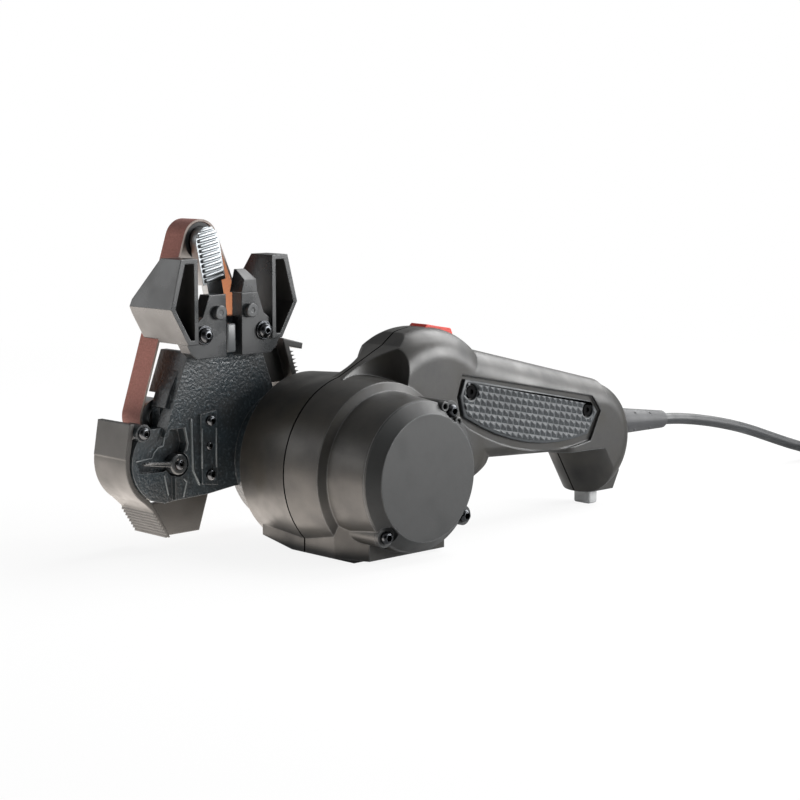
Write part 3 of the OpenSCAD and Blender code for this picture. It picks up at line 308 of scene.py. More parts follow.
# Nylon as it leaves the mould: plain dark grey
dress(moulded("inner_grey_nylon", ("#2e3134", "#393c3f"), 0.5, 0.02, 0.5), "switch_body", "fan")
# Moulded elastomer: soft to the eye, a shade paler than the housing
dress(moulded("relief_elastomer", ("#2c2d2f", "#38393b"), 0.5, 0.02, 0.5, 0.5), "strain_relief")
# Woven hook fabric: rough, and almost without shine
dress(moulded("tie_hook_fabric", ("#17181a", "#26282a"), 0.6, 0.15, 0.85), "cord_tie")
# Pressed carbon: dark grey and powdery
dress(moulded("brush_pressed_carbon", ("#1f1f20", "#2b2b2c"), 0.4, 0.02, 0.6), "brushes")
# Extruded PVC: smooth black with a soft line of light along it
cord_pvc = moulded("cord_pvc_sheath", ("#232426", "#303234"), 0.5, 0.01, 0.4)
cord.data.materials.append(cord_pvc)

# %% [markdown]
# ## Metals
# Metal is all reflection, so its finish is a tint, a gloss and the marks of how it was made: fine cast
# grain or turning. Two tones drift over a few millimetres, and the gloss drifts with them.

# %% Metals
METAL_DRIFT = 0.08


def metal(name, tones, rough, grain_mm=3.0, depth_mm=0.0, edge_mm=0.3):
    """Metal of two tones with a gloss that drifts, and a cast grain where it has a depth."""
    material, tree, shader, place = start_finish(name, {"Metallic": 1.0})
    patch = add(tree, "TexNoise", {"Vector": place, "Scale": 1000 / grain_mm, "Detail": 4.0})
    tint = add(tree, "Mix", {"Factor": patch.outputs["Fac"], "A": linear(tones[0]),
                             "B": linear(tones[1])}, data_type="RGBA")
    gloss = add(tree, "MapRange", {"Value": patch.outputs["Fac"], "To Min": rough - METAL_DRIFT,
                                   "To Max": rough + METAL_DRIFT})
    edge = add(tree, "Bevel", {"Radius": edge_mm * MM}, samples=6)
    relief = add(tree, "Bump", {"Height": patch.outputs["Fac"], "Distance": depth_mm * MM,
                                "Normal": edge.outputs["Normal"]})
    tree.links.new(tint.outputs["Result"], shader.inputs["Base Color"])
    tree.links.new(gloss.outputs["Result"], shader.inputs["Roughness"])
    tree.links.new(relief.outputs["Normal"], shader.inputs["Normal"])
    return material


# Die-cast zinc: bright grey with a fine grain, the palest thing on the tool
cast_zinc = metal("tensioner_cast_zinc", ("#7b7f82", "#9a9ea0"), 0.4, 0.6, 0.02)
dress(cast_zinc, "tensioner")
# Blackened steel: a dark satin ring between barrel and plate
dress(metal("neck_blackened_steel", ("#2f3133", "#3f4244"), 0.4), "swivel_neck")
# Screws deep in the grip, coloured near black as painted shade in their holes, and dull so that the holes
# stay dark
dress(metal("grip_screw_painted_shade", ("#0b0b0c", "#121213"), 0.6), "grip_screws")
# Turned aluminium: pale and bright where the belt runs
dress(metal("pulley_turned_aluminium", ("#a3a6a9", "#b9bcbe"), 0.3), "drive_pulley", "idler")
# Turned and drawn steel: bright, and seen only in gaps
dress(metal("turned_bright_steel", ("#b4b7ba", "#c9cbcd"), 0.24), "ring_screws", "pulley_screw", "shaft",
      "arm_pin", "idler_axle", "wheel_axle", "bearing_front", "bearing_rear", "swivel_ring",
      "tensioner_spring")
# Stacked iron sheets: a dull even grey
dress(metal("core_laminated_iron", ("#6f7275", "#8b8e91"), 0.45), "stator", "armature")
# Wound copper: reddish, and uneven at about the size of its turns
dress(metal("winding_copper", ("#a85a2c", "#c47a44"), 0.35, 0.8, 0.1), "field_coils", "commutator")
# Stamped brass: yellow, smooth and even
dress(metal("stamped_brass", ("#b8933f", "#cfae5e"), 0.3), "brush_holders", "plug_blades")

# %% [markdown]
# ## Tools for the pieces
# A new piece is shaped in a bmesh, which is a mesh held open for editing. When it is done, doubles are
# merged, its faces are turned outwards, edges sharper than a given angle stay sharp, and it rides on a
# body. Shapes that belong together, such as a row of screws, are joined into one mesh, each moved by its
# own matrix.

# %% Tools for the pieces
MERGE = 0.002 * MM


def piece(name, shape, material, body, replaced=(), sharp=35):
    """Makes an object of a finished bmesh, gives it its finish and lets it ride on a body."""
    bmesh.ops.remove_doubles(shape, verts=shape.verts, dist=MERGE)
    bmesh.ops.recalc_face_normals(shape, faces=shape.faces)
    mesh = bpy.data.meshes.new(name)
    shape.to_mesh(mesh)
    shape.free()
    mesh.shade_smooth()
    mesh.set_sharp_from_angle(angle=math.radians(sharp))
    mesh.materials.append(material)
    made = bpy.data.objects.new(name, mesh)
    bpy.context.scene.collection.objects.link(made)
    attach(made, body)
    if replaced:
        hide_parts(*replaced)
    print(name, "has", len(mesh.polygons), "faces on", body)
    return made


def joined(parts):
    """One bmesh that holds copies of finished bmeshes, each moved by its own matrix."""
    whole = bmesh.new()
    for shape, moves in parts:
        mesh = bpy.data.meshes.new("part")
        shape.to_mesh(mesh)
        shape.free()
        for move in moves:
            have = len(whole.verts)
            whole.from_mesh(mesh)
            whole.verts.ensure_lookup_table()
            bmesh.ops.transform(whole, matrix=move, verts=whole.verts[have:])
        bpy.data.meshes.remove(mesh)
    return whole


def place_at(x, y, z):
    """A move to a place given in millimetres."""
    return Matrix.Translation(Vector((x, y, z)) * MM)


print("piece tools ready")

# %% [markdown]
# ## Finishes of the belt
# The sanding belt is cloth with grit glued to its outside, cut to width with a knife. Seen from the side
# it shows three things: maroon grit, the orange cloth on the inside, and a pale cut edge. Noise draws the
# grains and a wave the threads, because neither needs more than its size and two tones.

# %% Finishes of the belt
GRIT_MM, THREAD_MM = 0.6, 0.9
# At a scale of 1, Blender's wave texture has a band every 0.314 units
BAND = 0.314
# Aluminium oxide grit: dull maroon, drawn coarser than the real 0.2 mm grains so that it shows
grit, tree, shader, place = start_finish("belt_aluminium_oxide_grit", {"Roughness": 0.85})
grain = add(tree, "TexNoise", {"Vector": place, "Scale": 1000 / GRIT_MM, "Detail": 3.0})
tint = add(tree, "Mix", {"Factor": grain.outputs["Fac"], "A": linear("#5d342f"), "B": linear("#9a6a61")},
           data_type="RGBA")
relief = add(tree, "Bump", {"Height": grain.outputs["Fac"], "Distance": 0.15 * MM})
tree.links.new(tint.outputs["Result"], shader.inputs["Base Color"])
tree.links.new(relief.outputs["Normal"], shader.inputs["Normal"])
# Woven cotton backing: orange brown with threads across it, drawn 0.9 mm apart so that they show
cotton, tree, shader, place = start_finish("belt_cotton_backing", {"Roughness": 0.75})
thread = add(tree, "TexWave", {"Vector": place, "Scale": BAND * 1000 / THREAD_MM, "Distortion": 0.6},
             bands_direction="X")
tint = add(tree, "Mix", {"Factor": thread.outputs["Fac"], "A": linear("#8e4f22"), "B": linear("#b8703a")},
           data_type="RGBA")
tree.links.new(tint.outputs["Result"], shader.inputs["Base Color"])
# Cut cloth and glue: a thin pale line along both sides
cut_edge = moulded("belt_cut_edge", ("#7d716b", "#978b84"), 0.5, 0.02, 0.7, 0.1)
print("belt finishes:", grit.name, cotton.name, cut_edge.name)

# %% [markdown]
# ## Belt
# The belt is one closed loop over the drive pulley, the idler and the top wheel. The CAD loop has the
# right shape, so a merged copy of it is taken and each face is sorted by the way it looks: sideways,
# outwards or inwards.

# %% Belt
GRIT, BACKING, CUT = 0, 1, 2
belt_shape = bmesh.new()
belt_shape.from_mesh(nodes["belt"].data)
bmesh.ops.remove_doubles(belt_shape, verts=belt_shape.verts, dist=MERGE)
belt_shape.normal_update()
belt_low, belt_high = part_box("belt")
belt_middle = (belt_low + belt_high) / 2
for face in belt_shape.faces:
    outward = face.normal.dot(face.calc_center_median() - belt_middle) > 0
    face.material_index = CUT if abs(face.normal.x) > 0.5 else GRIT if outward else BACKING
belt = piece("sanding_belt", belt_shape, grit, "cassette", ["belt"])
belt.data.materials.append(cotton)
belt.data.materials.append(cut_edge)

# %% [markdown]
# ## Grip inserts
# A soft insert is let into each side of the handle. The CAD panel has the right outline but sharp
# corners, so a merged copy of it is taken, its flat triangles are dissolved, and the edges of its outer
# face are rounded by a bevel.

# %% Grip inserts
# Soft elastomer moulded over the nylon: bluish and quite dull
grip_rubber = moulded("grip_soft_elastomer", ("#2e3134", "#383c3f"), 0.4, 0.01, 0.46, 0.5)
PANEL_FACE, PANEL_ROUND = 17.0, 0.7


def softened(node, round_mm, segments=3, face_x=None):
    """A merged copy of a CAD node, its sharp edges rounded: all, or those on one plane of X."""
    shape = bmesh.new()
    shape.from_mesh(nodes[node].data)
    bmesh.ops.remove_doubles(shape, verts=shape.verts, dist=MERGE)
    bmesh.ops.dissolve_limit(shape, angle_limit=math.radians(1), verts=shape.verts, edges=shape.edges)
    edges = [e for e in shape.edges if e.is_manifold and e.calc_face_angle() > math.radians(30)]
    if face_x is not None:
        edges = [e for e in edges if all(abs(v.co.x - face_x * MM) < 0.01 * MM for v in e.verts)]
    bmesh.ops.bevel(shape, geom=edges, offset=round_mm * MM, affect="EDGES", segments=segments,
                    profile=0.5, material=-1, clamp_overlap=True)
    return shape


for side, face_x in (("right", PANEL_FACE), ("left", -PANEL_FACE)):
    panel = "grip_panel_" + side
    piece("grip_insert_" + side, softened(panel, PANEL_ROUND, 2, face_x), grip_rubber, "body",
          [panel])

# %% [markdown]
# ## Grip studs
# The soft grip inserts carry rows of little pyramids. A grid whose faces are poked outwards gives
# pyramids at once; it is tilted to follow the insert's upper edge, cut back to the insert's outline by
# one plane for each side, opened round the two screw holes, and closed below so that it is a solid sheet.

# %% Grip studs
STUD_LONG, STUD_HIGH, STUD_TALL, STUD_TILT = 3.8, 3.1, 1.0, -11.5
STUD_COLUMNS, STUD_ROWS = 28, 16
SHEET_AT, SHEET_SUNK = (93, 50), 0.5
HOLES, HOLE_R, HOLE_SIDES, HOLE_NEAR = [(54.2, 63.2), (131.3, 47.9)], 4.1, 12, 1.9
LOWEST_Y, LOWEST_Z, LOW_BEND = 112, 36.5, 0.0045
arc = [(y, LOWEST_Z + LOW_BEND * (y - LOWEST_Y) ** 2) for y in range(130, 50, -10)]
STUD_EDGE = [(48.7, 61.6), (51.4, 67.5), (132.2, 50.7), (136.2, 46.6)] + arc + [(50.9, 53.8)]
CUT_SLACK = 1e-7


def open_hole(shape, centre):
    """Cuts a many-sided hole out of a sheet of studs: one plane for each side, then the middle goes."""
    turns = [2 * math.pi * k / HOLE_SIDES for k in range(HOLE_SIDES)]
    ways = [Vector((0, math.cos(a), math.sin(a))) for a in turns]
    for way in ways:
        near = [f for f in shape.faces
                if (f.calc_center_median() - centre).length < HOLE_NEAR * HOLE_R * MM]
        edges = dict.fromkeys(e for f in near for e in f.edges)
        verts = dict.fromkeys(v for f in near for v in f.verts)
        bmesh.ops.bisect_plane(shape, geom=[*near, *edges, *verts], dist=CUT_SLACK,
                               plane_co=centre + way * HOLE_R * MM, plane_no=way)
    inside = [f for f in shape.faces
              if max(way.dot(f.calc_center_median() - centre) for way in ways) < HOLE_R * MM]
    bmesh.ops.delete(shape, geom=inside, context="FACES")


def stud_sheet():
    """A closed sheet of pyramids in the outline of the right insert."""
    shape = bmesh.new()
    bmesh.ops.create_grid(shape, x_segments=STUD_COLUMNS, y_segments=STUD_ROWS, size=0.5)
    scale = Matrix.Diagonal((STUD_COLUMNS * STUD_LONG * MM, STUD_ROWS * STUD_HIGH * MM, 1, 1))
    stand = Matrix(((0, 0, 1, 0), (1, 0, 0, 0), (0, 1, 0, 0), (0, 0, 0, 1)))
    tilt = Matrix.Rotation(math.radians(STUD_TILT), 4, "X")
    move = place_at(PANEL_FACE, *SHEET_AT) @ tilt @ stand @ scale
    bmesh.ops.transform(shape, matrix=move, verts=shape.verts)
    bmesh.ops.recalc_face_normals(shape, faces=shape.faces)
    if shape.faces[:][0].normal.x < 0:
        bmesh.ops.reverse_faces(shape, faces=shape.faces)
    bmesh.ops.poke(shape, faces=shape.faces, offset=STUD_TALL * MM)
    for (y, z), (next_y, next_z) in zip(STUD_EDGE, STUD_EDGE[1:] + STUD_EDGE[:1]):
        outward = Vector((0, z - next_z, next_y - y))
        bmesh.ops.bisect_plane(shape, geom=shape.verts[:] + shape.edges[:] + shape.faces[:],
                               dist=CUT_SLACK, plane_co=Vector((PANEL_FACE, y, z)) * MM,
                               plane_no=outward, clear_outer=True)
    for y, z in HOLES:
        open_hole(shape, Vector((PANEL_FACE, y, z)) * MM)
    rim = [e for e in shape.edges if e.is_boundary]
    walls = bmesh.ops.extrude_edge_only(shape, edges=rim)["geom"]
    for vert in [v for v in walls if isinstance(v, bmesh.types.BMVert)]:
        vert.co.x = (PANEL_FACE - SHEET_SUNK) * MM
    low_edges = [e for e in walls if isinstance(e, bmesh.types.BMEdge)]
    bmesh.ops.triangle_fill(shape, use_beauty=True, edges=low_edges, normal=(-1, 0, 0))
    return shape


piece("grip_studs_right", stud_sheet(), grip_rubber, "body", sharp=20)
piece("grip_studs_left", joined([(stud_sheet(), [Matrix.Scale(-1, 4, (1, 0, 0))])]), grip_rubber, "body",
      sharp=20)

# %% [markdown]
# ## Lathe
# Screws, pins, hubs and rims are round, so they are made as on a lathe: a line of points is spun about
# the X axis, which is the way that all of them point here, and the seam is merged.

# %% Lathe


def lathe(profile, steps=40):
    """A bmesh turned about X from points given as distance along X and radius, in millimetres."""
    shape = bmesh.new()
    line = [shape.verts.new((x * MM, r * MM, 0)) for x, r in profile]
    edges = [shape.edges.new(pair) for pair in zip(line, line[1:])]
    bmesh.ops.spin(shape, geom=line + edges, cent=(0, 0, 0), axis=(1, 0, 0), angle=2 * math.pi,
                   steps=steps, use_merge=True)
    bmesh.ops.remove_doubles(shape, verts=shape.verts, dist=MERGE)
    return shape


print("lathe ready")

# %% [markdown]
# ## Screws
# Button-head screws hold the guide, the strip, the guard and the end cap. Each is turned on a lathe: a
# shank, a washer where it has one, and a domed head that ends in a rim. The rim is bridged to a hexagon,
# which is extruded down for the key's socket. The domes are what mirror the soft boxes.

# %% Screws
# Black-oxide steel: dark grey, with a small sharp highlight on each dome
black_oxide = metal("screw_black_oxide_steel", ("#3a3b3d", "#55575a"), 0.24)
SHANK_R, DOME_STEPS, WASHER_EDGE = 1.4, 7, 0.15
HEAD_WALL, SOCKET_RIM, SOCKET_DEEP = 0.25, 1.25, 0.6


def screw(head_r, head_h, socket_r, shank, washer_r=0, washer_t=0):
    """A button-head screw on the X axis, its head's seat at the origin, sizes in millimetres."""
    line = [(-shank, 0), (-shank, SHANK_R), (0, SHANK_R)]
    if washer_r:
        line += [(0, washer_r - WASHER_EDGE), (WASHER_EDGE, washer_r),
                 (washer_t - WASHER_EDGE, washer_r), (washer_t, washer_r - WASHER_EDGE)]
    end = math.acos(SOCKET_RIM * socket_r / head_r)
    turns = [end * k / DOME_STEPS for k in range(DOME_STEPS + 1)]
    line += [(washer_t, head_r)]
    line += [(washer_t + head_h * (HEAD_WALL + (1 - HEAD_WALL) * math.sin(a)), head_r * math.cos(a))
             for a in turns]
    top = line[-1][0]
    shape = lathe(line)
    rim = [e for e in shape.edges if e.is_boundary]
    upright = Matrix.Rotation(math.pi / 2, 4, "Y")
    bmesh.ops.create_circle(shape, segments=6, radius=socket_r * MM, matrix=place_at(top, 0, 0) @ upright)
    hexagon = [e for e in shape.edges if e.is_wire]
    bmesh.ops.bridge_loops(shape, edges=rim + hexagon)
    walls = bmesh.ops.extrude_edge_only(shape, edges=hexagon)["geom"]
    lower = [v for v in walls if isinstance(v, bmesh.types.BMVert)]
    bmesh.ops.translate(shape, vec=(-SOCKET_DEEP * head_h * MM, 0, 0), verts=lower)
    bmesh.ops.edgeloop_fill(shape, edges=[e for e in walls if isinstance(e, bmesh.types.BMEdge)])
    return shape


def fasten(name, body, node, *kinds):
    """One piece of screws that stands for a CAD node: each kind with the places of its seats."""
    parts = [(shape, [place_at(*seat) for seat in seats]) for shape, seats in kinds]
    piece(name, joined(parts), black_oxide, body, [node])


print("screw: dome in", DOME_STEPS, "steps")

# %% [markdown]
# ## Places of the screws
# Each screw sits on the face that it holds, so its place along X is that face's and only its height and
# its distance along the tool are its own. The end cap's three lie on one circle about the motor's axis.

# %% Places of the screws
SHIELD_X, GUIDE_SCREW_OUT, GUIDE_SCREW_Z = -36.6, 16, 91.5
guide_seats = [(SHIELD_X, GUIDE_Y + s * GUIDE_SCREW_OUT, GUIDE_SCREW_Z) for s in (-1, 1)]
fasten("guide_screws_domed", "cassette", "guide_screws",
       (screw(head_r=3.3, head_h=2.6, socket_r=1.2, shank=8.6, washer_r=4.1, washer_t=0.8), guide_seats))
PLATE_X, STRIP_T = -43.0, 1.6
strip_seats = [(PLATE_X + STRIP_T, y, z) for y, z in ((-44.5, 54.5), (-44.7, 31.2))]
fasten("strip_screws_domed", "cassette", "strip_screws",
       (screw(head_r=2.3, head_h=2.2, socket_r=0.95, shank=4.4), strip_seats),
       (screw(head_r=1.6, head_h=0.9, socket_r=0.6, shank=1.4), [(PLATE_X + STRIP_T, -45, 43.6)]))
GUARD_X, GUARD_T = -46.5, 2.2
fasten("guard_screw_domed", "cassette", "guard_screw",
       (screw(head_r=2.8, head_h=2.0, socket_r=1.2, shank=8), [(GUARD_X + GUARD_T, -77, 52)]))
CAP_X, CAP_LUG_T, CAP_SCREW_R, CAP_SCREW_TURNS = 39.7, 2, 30.6, (58, 226.6, -38.5)
cap_turns = [math.radians(a) for a in CAP_SCREW_TURNS]
cap_seats = [(CAP_X + CAP_LUG_T, CAP_SCREW_R * math.cos(a), AXIS_H + CAP_SCREW_R * math.sin(a))
             for a in cap_turns]
fasten("cap_screws_domed", "body", "cap_screws",
       (screw(head_r=2.75, head_h=3.0, socket_r=1.45, shank=12), cap_seats))
HUB_AT, HUB_SEAT = (-60, 37.2), 4.0
fasten("tracking_screw_domed", "cassette", "tracking_screw",
       (screw(head_r=2.2, head_h=1.2, socket_r=0.9, shank=6.5), [(GUARD_X + HUB_SEAT, *HUB_AT)]))

# %% [markdown]
# ## Guide pins
# Two flat pins locate the guide. The lathe gives them a rounded rim and a small centre mark in one line
# of points.

# %% Guide pins
# Turned acetal: a shade paler than the guide, with a soft ring of light
pin_acetal = moulded("pin_dark_acetal", ("#232527", "#2d3032"), 0.5, 0.003, 0.34, 0.3)
PIN_R, PIN_TALL, PIN_OUT, PIN_Z = 3, 2.4, 8.5, 100.6
pin_line = [(-6, 0), (-6, SHANK_R), (0, SHANK_R), (0, PIN_R), (PIN_TALL - 0.3, PIN_R),
            (PIN_TALL, PIN_R - 0.3), (PIN_TALL, 1.15), (PIN_TALL - 0.25, 0.9), (PIN_TALL - 0.25, 0)]
pin_moves = [place_at(SHIELD_X, GUIDE_Y + s * PIN_OUT, PIN_Z) for s in (-1, 1)]
piece("guide_pins_rounded", joined([(lathe(pin_line), pin_moves)]), pin_acetal, "cassette",
      ["guide_pins"])

# %% [markdown]
# ## Guide key
# A grey key stands in the guide's slot. It is a cube stretched to the size of the CAD key, and a bevel
# rounds its edges; the bars and ribs further on are made in the same way.

# %% Guide key


def block(low, high, round_mm, segments=3):
    """A box between two corners in millimetres, its edges rounded."""
    shape = bmesh.new()
    size = Vector(high) - Vector(low)
    bmesh.ops.create_cube(shape, size=1, matrix=place_at(*((Vector(low) + Vector(high)) / 2))
                          @ Matrix.Diagonal((*(size * MM), 1)))
    bmesh.ops.bevel(shape, geom=shape.edges, offset=round_mm * MM, affect="EDGES", segments=segments,
                    profile=0.5, material=-1)
    return shape


# Moulded grey acetal: paler than the guide, so that the key stands out in its slot
key_acetal = moulded("key_grey_acetal", ("#3c3f41", "#484b4d"), 0.5, 0.004, 0.36)
KEY_ROUND = 0.9
key_low, key_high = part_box("guide_key")
piece("guide_key_rounded", block(key_low / MM, key_high / MM, KEY_ROUND), key_acetal, "cassette",
      ["guide_key"])

# %% [markdown]
# ## Rocker and rear foot
# The switch's rocker and the rear foot have the right shape in the frame but knife-sharp edges. A soft
# copy of each, with rounded edges, gives the small highlights that tell a moulding from a block.

# %% Rocker and rear foot
ROCKER_ROUND, FOOT_ROUND = 0.9, 1.2
# Moulded red ABS: even and a little dull, the one strong colour on the tool
rocker_abs = moulded("rocker_red_abs", ("#ac1f0a", "#be290d"), 0.5, 0.003, 0.6, 0.5, highlight_share=0.0)
piece("rocker_rounded", softened("switch_rocker", ROCKER_ROUND, 4), rocker_abs, "switch",
      ["switch_rocker"])
# Moulded rubber, painted pale grey as a painted reflection of the white table, and dull, so that it fades
# into the table
foot_painted_reflection = moulded("foot_rubber_painted_reflection", ("#8f9192", "#a5a6a6"), 0.5, 0.02, 0.6)
piece("rear_foot_rounded", softened("rear_pad", FOOT_ROUND), foot_painted_reflection, "body",
      ["rear_pad"])

# %% [markdown]
# ## Rim and bosses of the end cap
# A fine raised rim runs round the end cap's disc, and two small hollow bosses flank its upper screw. All
# are turned: a closed ring of points spun about the motor's axis, or about the boss's own.

# %% Rim and bosses of the end cap
DISC_R, RIM_STEPS, BOSS_X = 26.3, 96, 43.4
rim_line = [(-0.7, -0.1), (-0.7, 0.35), (-0.2, 0.35), (-0.02, 0.12), (-0.02, -0.1), (-0.7, -0.1)]
rim = lathe([(DISC_X + x, DISC_R + r) for x, r in rim_line], RIM_STEPS)
boss_line = [(-3, 1.1), (-3, 2.2), (-0.3, 2.2), (0, 1.9), (0, 1.4), (-0.3, 1.1), (-3, 1.1)]
boss_moves = [place_at(BOSS_X, y, z) for y, z in ((11.4, 63.4), (19.2, 56.3))]
piece("cap_rim_and_bosses", joined([(rim, [place_at(0, 0, AXIS_H)]), (lathe(boss_line), boss_moves)]),
      cap_nylon, "body")

# %% [markdown]
# ## Tensioner ribs
# The bright cast lever that is pressed to change the belt has rounded ribs for the thumb. The CAD ribs
# are square bars, so a rounded bar lies over each, in the lever's own leaning frame, and a short one on
# the top.

# %% Tensioner ribs
RIBS, RIB_STEP, RIB_TOP, LEAN = 10, 2.16, 2.6, 11.5
RIB_X, RIB_HALF, RIB_Z, RIB_ROUND = (-51.9, -50.2), 5.1, (-0.2, 1.5), 0.6
CREST_X, CREST_HALF, CREST_Z, CREST_ROUND = (-51.6, -50.4), 3.6, (-0.3, 1.1), 0.55
TOP_AT = Vector((0, -36.9, 129.4))
lean = place_at(*TOP_AT) @ Matrix.Rotation(math.radians(LEAN), 4, "X")


def rib(x_span, half, z, z_span, round_mm):
    """A rounded bar across the lever at a height z, in the lever's own frame."""
    return block((x_span[0], -half, z + z_span[0]), (x_span[1], half, z + z_span[1]), round_mm)


ribs = [rib(RIB_X, RIB_HALF, RIB_TOP - i * RIB_STEP, RIB_Z, RIB_ROUND) for i in range(RIBS)]
ribs.append(rib(CREST_X, CREST_HALF, RIB_TOP + RIB_STEP, CREST_Z, CREST_ROUND))
piece("tensioner_ribs", joined([(bar, [lean]) for bar in ribs]), cast_zinc, "tension")

# %% [markdown]
# ## Tracking lever
# A small lever on a round hub trims the way the belt runs. The hub is turned, with a rounded rim, and the
# bar is a block that is pinched to a point, with a ridge along it for the thumb.

# %% Tracking lever
# Moulded acetal with a polished face: black with a narrow highlight
lever_acetal = moulded("lever_black_acetal", ("#202325", "#2a2d2f"), 0.5, 0.01, 0.3, 0.3, coat=0.3)
HUB_R, HUB_BORE, HUB_TALL, HUB_SUNK = 4.4, 2.45, 3.9, 0.3
BAR_X, BAR_LONG, BAR_HALF, BAR_TURN = (-44.9, -42.9), 18, 1.3, math.radians(-6)
PINCH_FROM, PINCH = 0.55, 1.5
hub_line = [(-HUB_SUNK, HUB_BORE), (-HUB_SUNK, HUB_R), (HUB_TALL - 0.5, HUB_R),
            (HUB_TALL - 0.1, HUB_R - 0.4), (HUB_TALL, HUB_R - 0.8), (HUB_TALL, HUB_BORE),
            (-HUB_SUNK, HUB_BORE)]
bar = block((BAR_X[0], -BAR_LONG, -BAR_HALF), (BAR_X[1], -HUB_R + 1.2, BAR_HALF), 0.4)
for vert in bar.verts:
    reach = -vert.co.y / MM / BAR_LONG
    vert.co.z *= 1.0 if reach < PINCH_FROM else 1.0 - PINCH * (reach - PINCH_FROM)
ridge = block((BAR_X[1] - 0.6, -BAR_LONG + 1.5, 0.3), (BAR_X[1] + 0.5, -HUB_R, 1.0), 0.25)
at_hub = place_at(0, *HUB_AT) @ Matrix.Rotation(BAR_TURN, 4, "X")
lever_parts = [(lathe(hub_line), [place_at(GUARD_X, *HUB_AT)]), (bar, [at_hub]), (ridge, [at_hub])]
piece("tracking_lever_turned", joined(lever_parts), lever_acetal, "tracking",
      ["tracking_lever"])

# %% [markdown]
# ## Beads on the cassette
# Thin walls edge the pocket of the lever and run down the plate; their tops catch the light as fine lines,
# and their colour is painted paler than the plate as a painted highlight. Each is a row of a few vertices
# that is extruded along X into a ribbon and given a thickness by solidify.

# %% Beads on the cassette
# Nylon painted paler than the plate as a painted highlight: a fine line of light
bead_painted_highlight = moulded("bead_nylon_painted_highlight", ("#4a5053", "#5c6265"), 0.5, 0.01, 0.3, 0.2)
SIDE_FACE, STRIP_FACE = -45.5, PLATE_X + STRIP_T
BEAD_WIDE, BEAD_SUNK, BEAD_ROUND = 0.6, 0.3, 0.12
BEADS = [
    (SIDE_FACE, 0.5, [(-80.6, 40.7), (-72.6, 41.2), (-71.6, 43.2), (-69.5, 45.2), (-66.9, 45.8),
                      (-65.5, 50.5), (-64.9, 52.6)]),
    (PLATE_X, 0.5, [(-57.2, 52.6), (-55.6, 45.8), (-56.5, 42.6)]),
    (SIDE_FACE, 0.5, [(-66.3, 33.0), (-64.4, 24.2)]),
    (PLATE_X, 0.5, [(-58.0, 30.8), (-56.6, 29.3), (-58.4, 23.2)]),
    (PLATE_X, 1.0, [(-54.0, 56.0), (-53.4, 34.0), (-50.0, 27.2)]),
    (STRIP_FACE, 0.4, [(-48.6, 51.4), (-48.8, 34.4)]),
    (STRIP_FACE, 0.4, [(-41.6, 51.2), (-41.8, 34.2)]),
]


def bead(base_x, tall, route):
    """A thin wall that stands on a plane of constant X and follows points given as Y and Z."""
    shape = bmesh.new()
    line = [shape.verts.new(Vector((base_x - BEAD_SUNK, y, z)) * MM) for y, z in route]
    edges = [shape.edges.new(pair) for pair in zip(line, line[1:])]
    raised = bmesh.ops.extrude_edge_only(shape, edges=edges)["geom"]
    tops = [v for v in raised if isinstance(v, bmesh.types.BMVert)]
    bmesh.ops.translate(shape, vec=((tall + BEAD_SUNK) * MM, 0, 0), verts=tops)
    bmesh.ops.recalc_face_normals(shape, faces=shape.faces)
    bmesh.ops.solidify(shape, geom=shape.faces[:], thickness=BEAD_WIDE * MM)
    bmesh.ops.bevel(shape, geom=shape.edges, offset=BEAD_ROUND * MM, affect="EDGES", segments=2,
                    profile=0.5, material=-1)
    return shape


piece("cassette_beads", joined([(bead(*row), [Matrix.Identity(4)]) for row in BEADS]), bead_painted_highlight,
      "cassette")

# %% [markdown]
# ## Plug
# The cord ends in a moulded two-blade plug. It starts as a cube; its back face is inset, drawn out and
# narrowed towards the cord, and all edges are rounded as a soft moulding's are.

# %% Plug
PLUG_SIZE, PLUG_MID, PLUG_INSET, PLUG_ROUND = Vector((21, 22, 20)), 23.5, 3, 1.6
NECK_LONG, NECK_SHARE = 12.6, 0.55
plug_at, plug_turn = cord_route[-1], math.atan2(coil_end.y, coil_end.x)
plug = bmesh.new()
plug_spread = Matrix.Diagonal((*(PLUG_SIZE * MM), 1))
bmesh.ops.create_cube(plug, size=1, matrix=place_at(PLUG_MID, 0, 0) @ plug_spread)
plug.normal_update()
rear = [f for f in plug.faces if f.normal.x < -0.9]
bmesh.ops.inset_region(plug, faces=rear, thickness=PLUG_INSET * MM, use_even_offset=True)
drawn = bmesh.ops.extrude_face_region(plug, geom=rear)["geom"]
tip = [v for v in drawn if isinstance(v, bmesh.types.BMVert)]
bmesh.ops.delete(plug, geom=rear, context="FACES_ONLY")
bmesh.ops.translate(plug, vec=(-NECK_LONG * MM, 0, 0), verts=tip)
bmesh.ops.scale(plug, vec=(1, NECK_SHARE, NECK_SHARE), verts=tip)
bmesh.ops.bevel(plug, geom=plug.edges, offset=PLUG_ROUND * MM, affect="EDGES", segments=4, profile=0.5,
                material=-1)
plug_move = place_at(*plug_at) @ Matrix.Rotation(plug_turn, 4, "Z")
plug_piece = piece("plug_moulded", joined([(plug, [plug_move])]), cord_pvc, "body",
                   ["plug_body"])

# %% [markdown]
# ## Table
# The table is a white paper sweep that is pure white away from the object and keeps its shadow near it.
# Mirrors see less of it, because round a dark tool in a real studio much of the room is unlit. The Light
# Path node tells one kind of ray from another.

# %% Table
FLOOR_HALF, FLOOR_MIRRORED, FADE_FROM, FADE_TO, PAPER_NEAR = 6, 0.45, 0.3, 0.9, 0.88


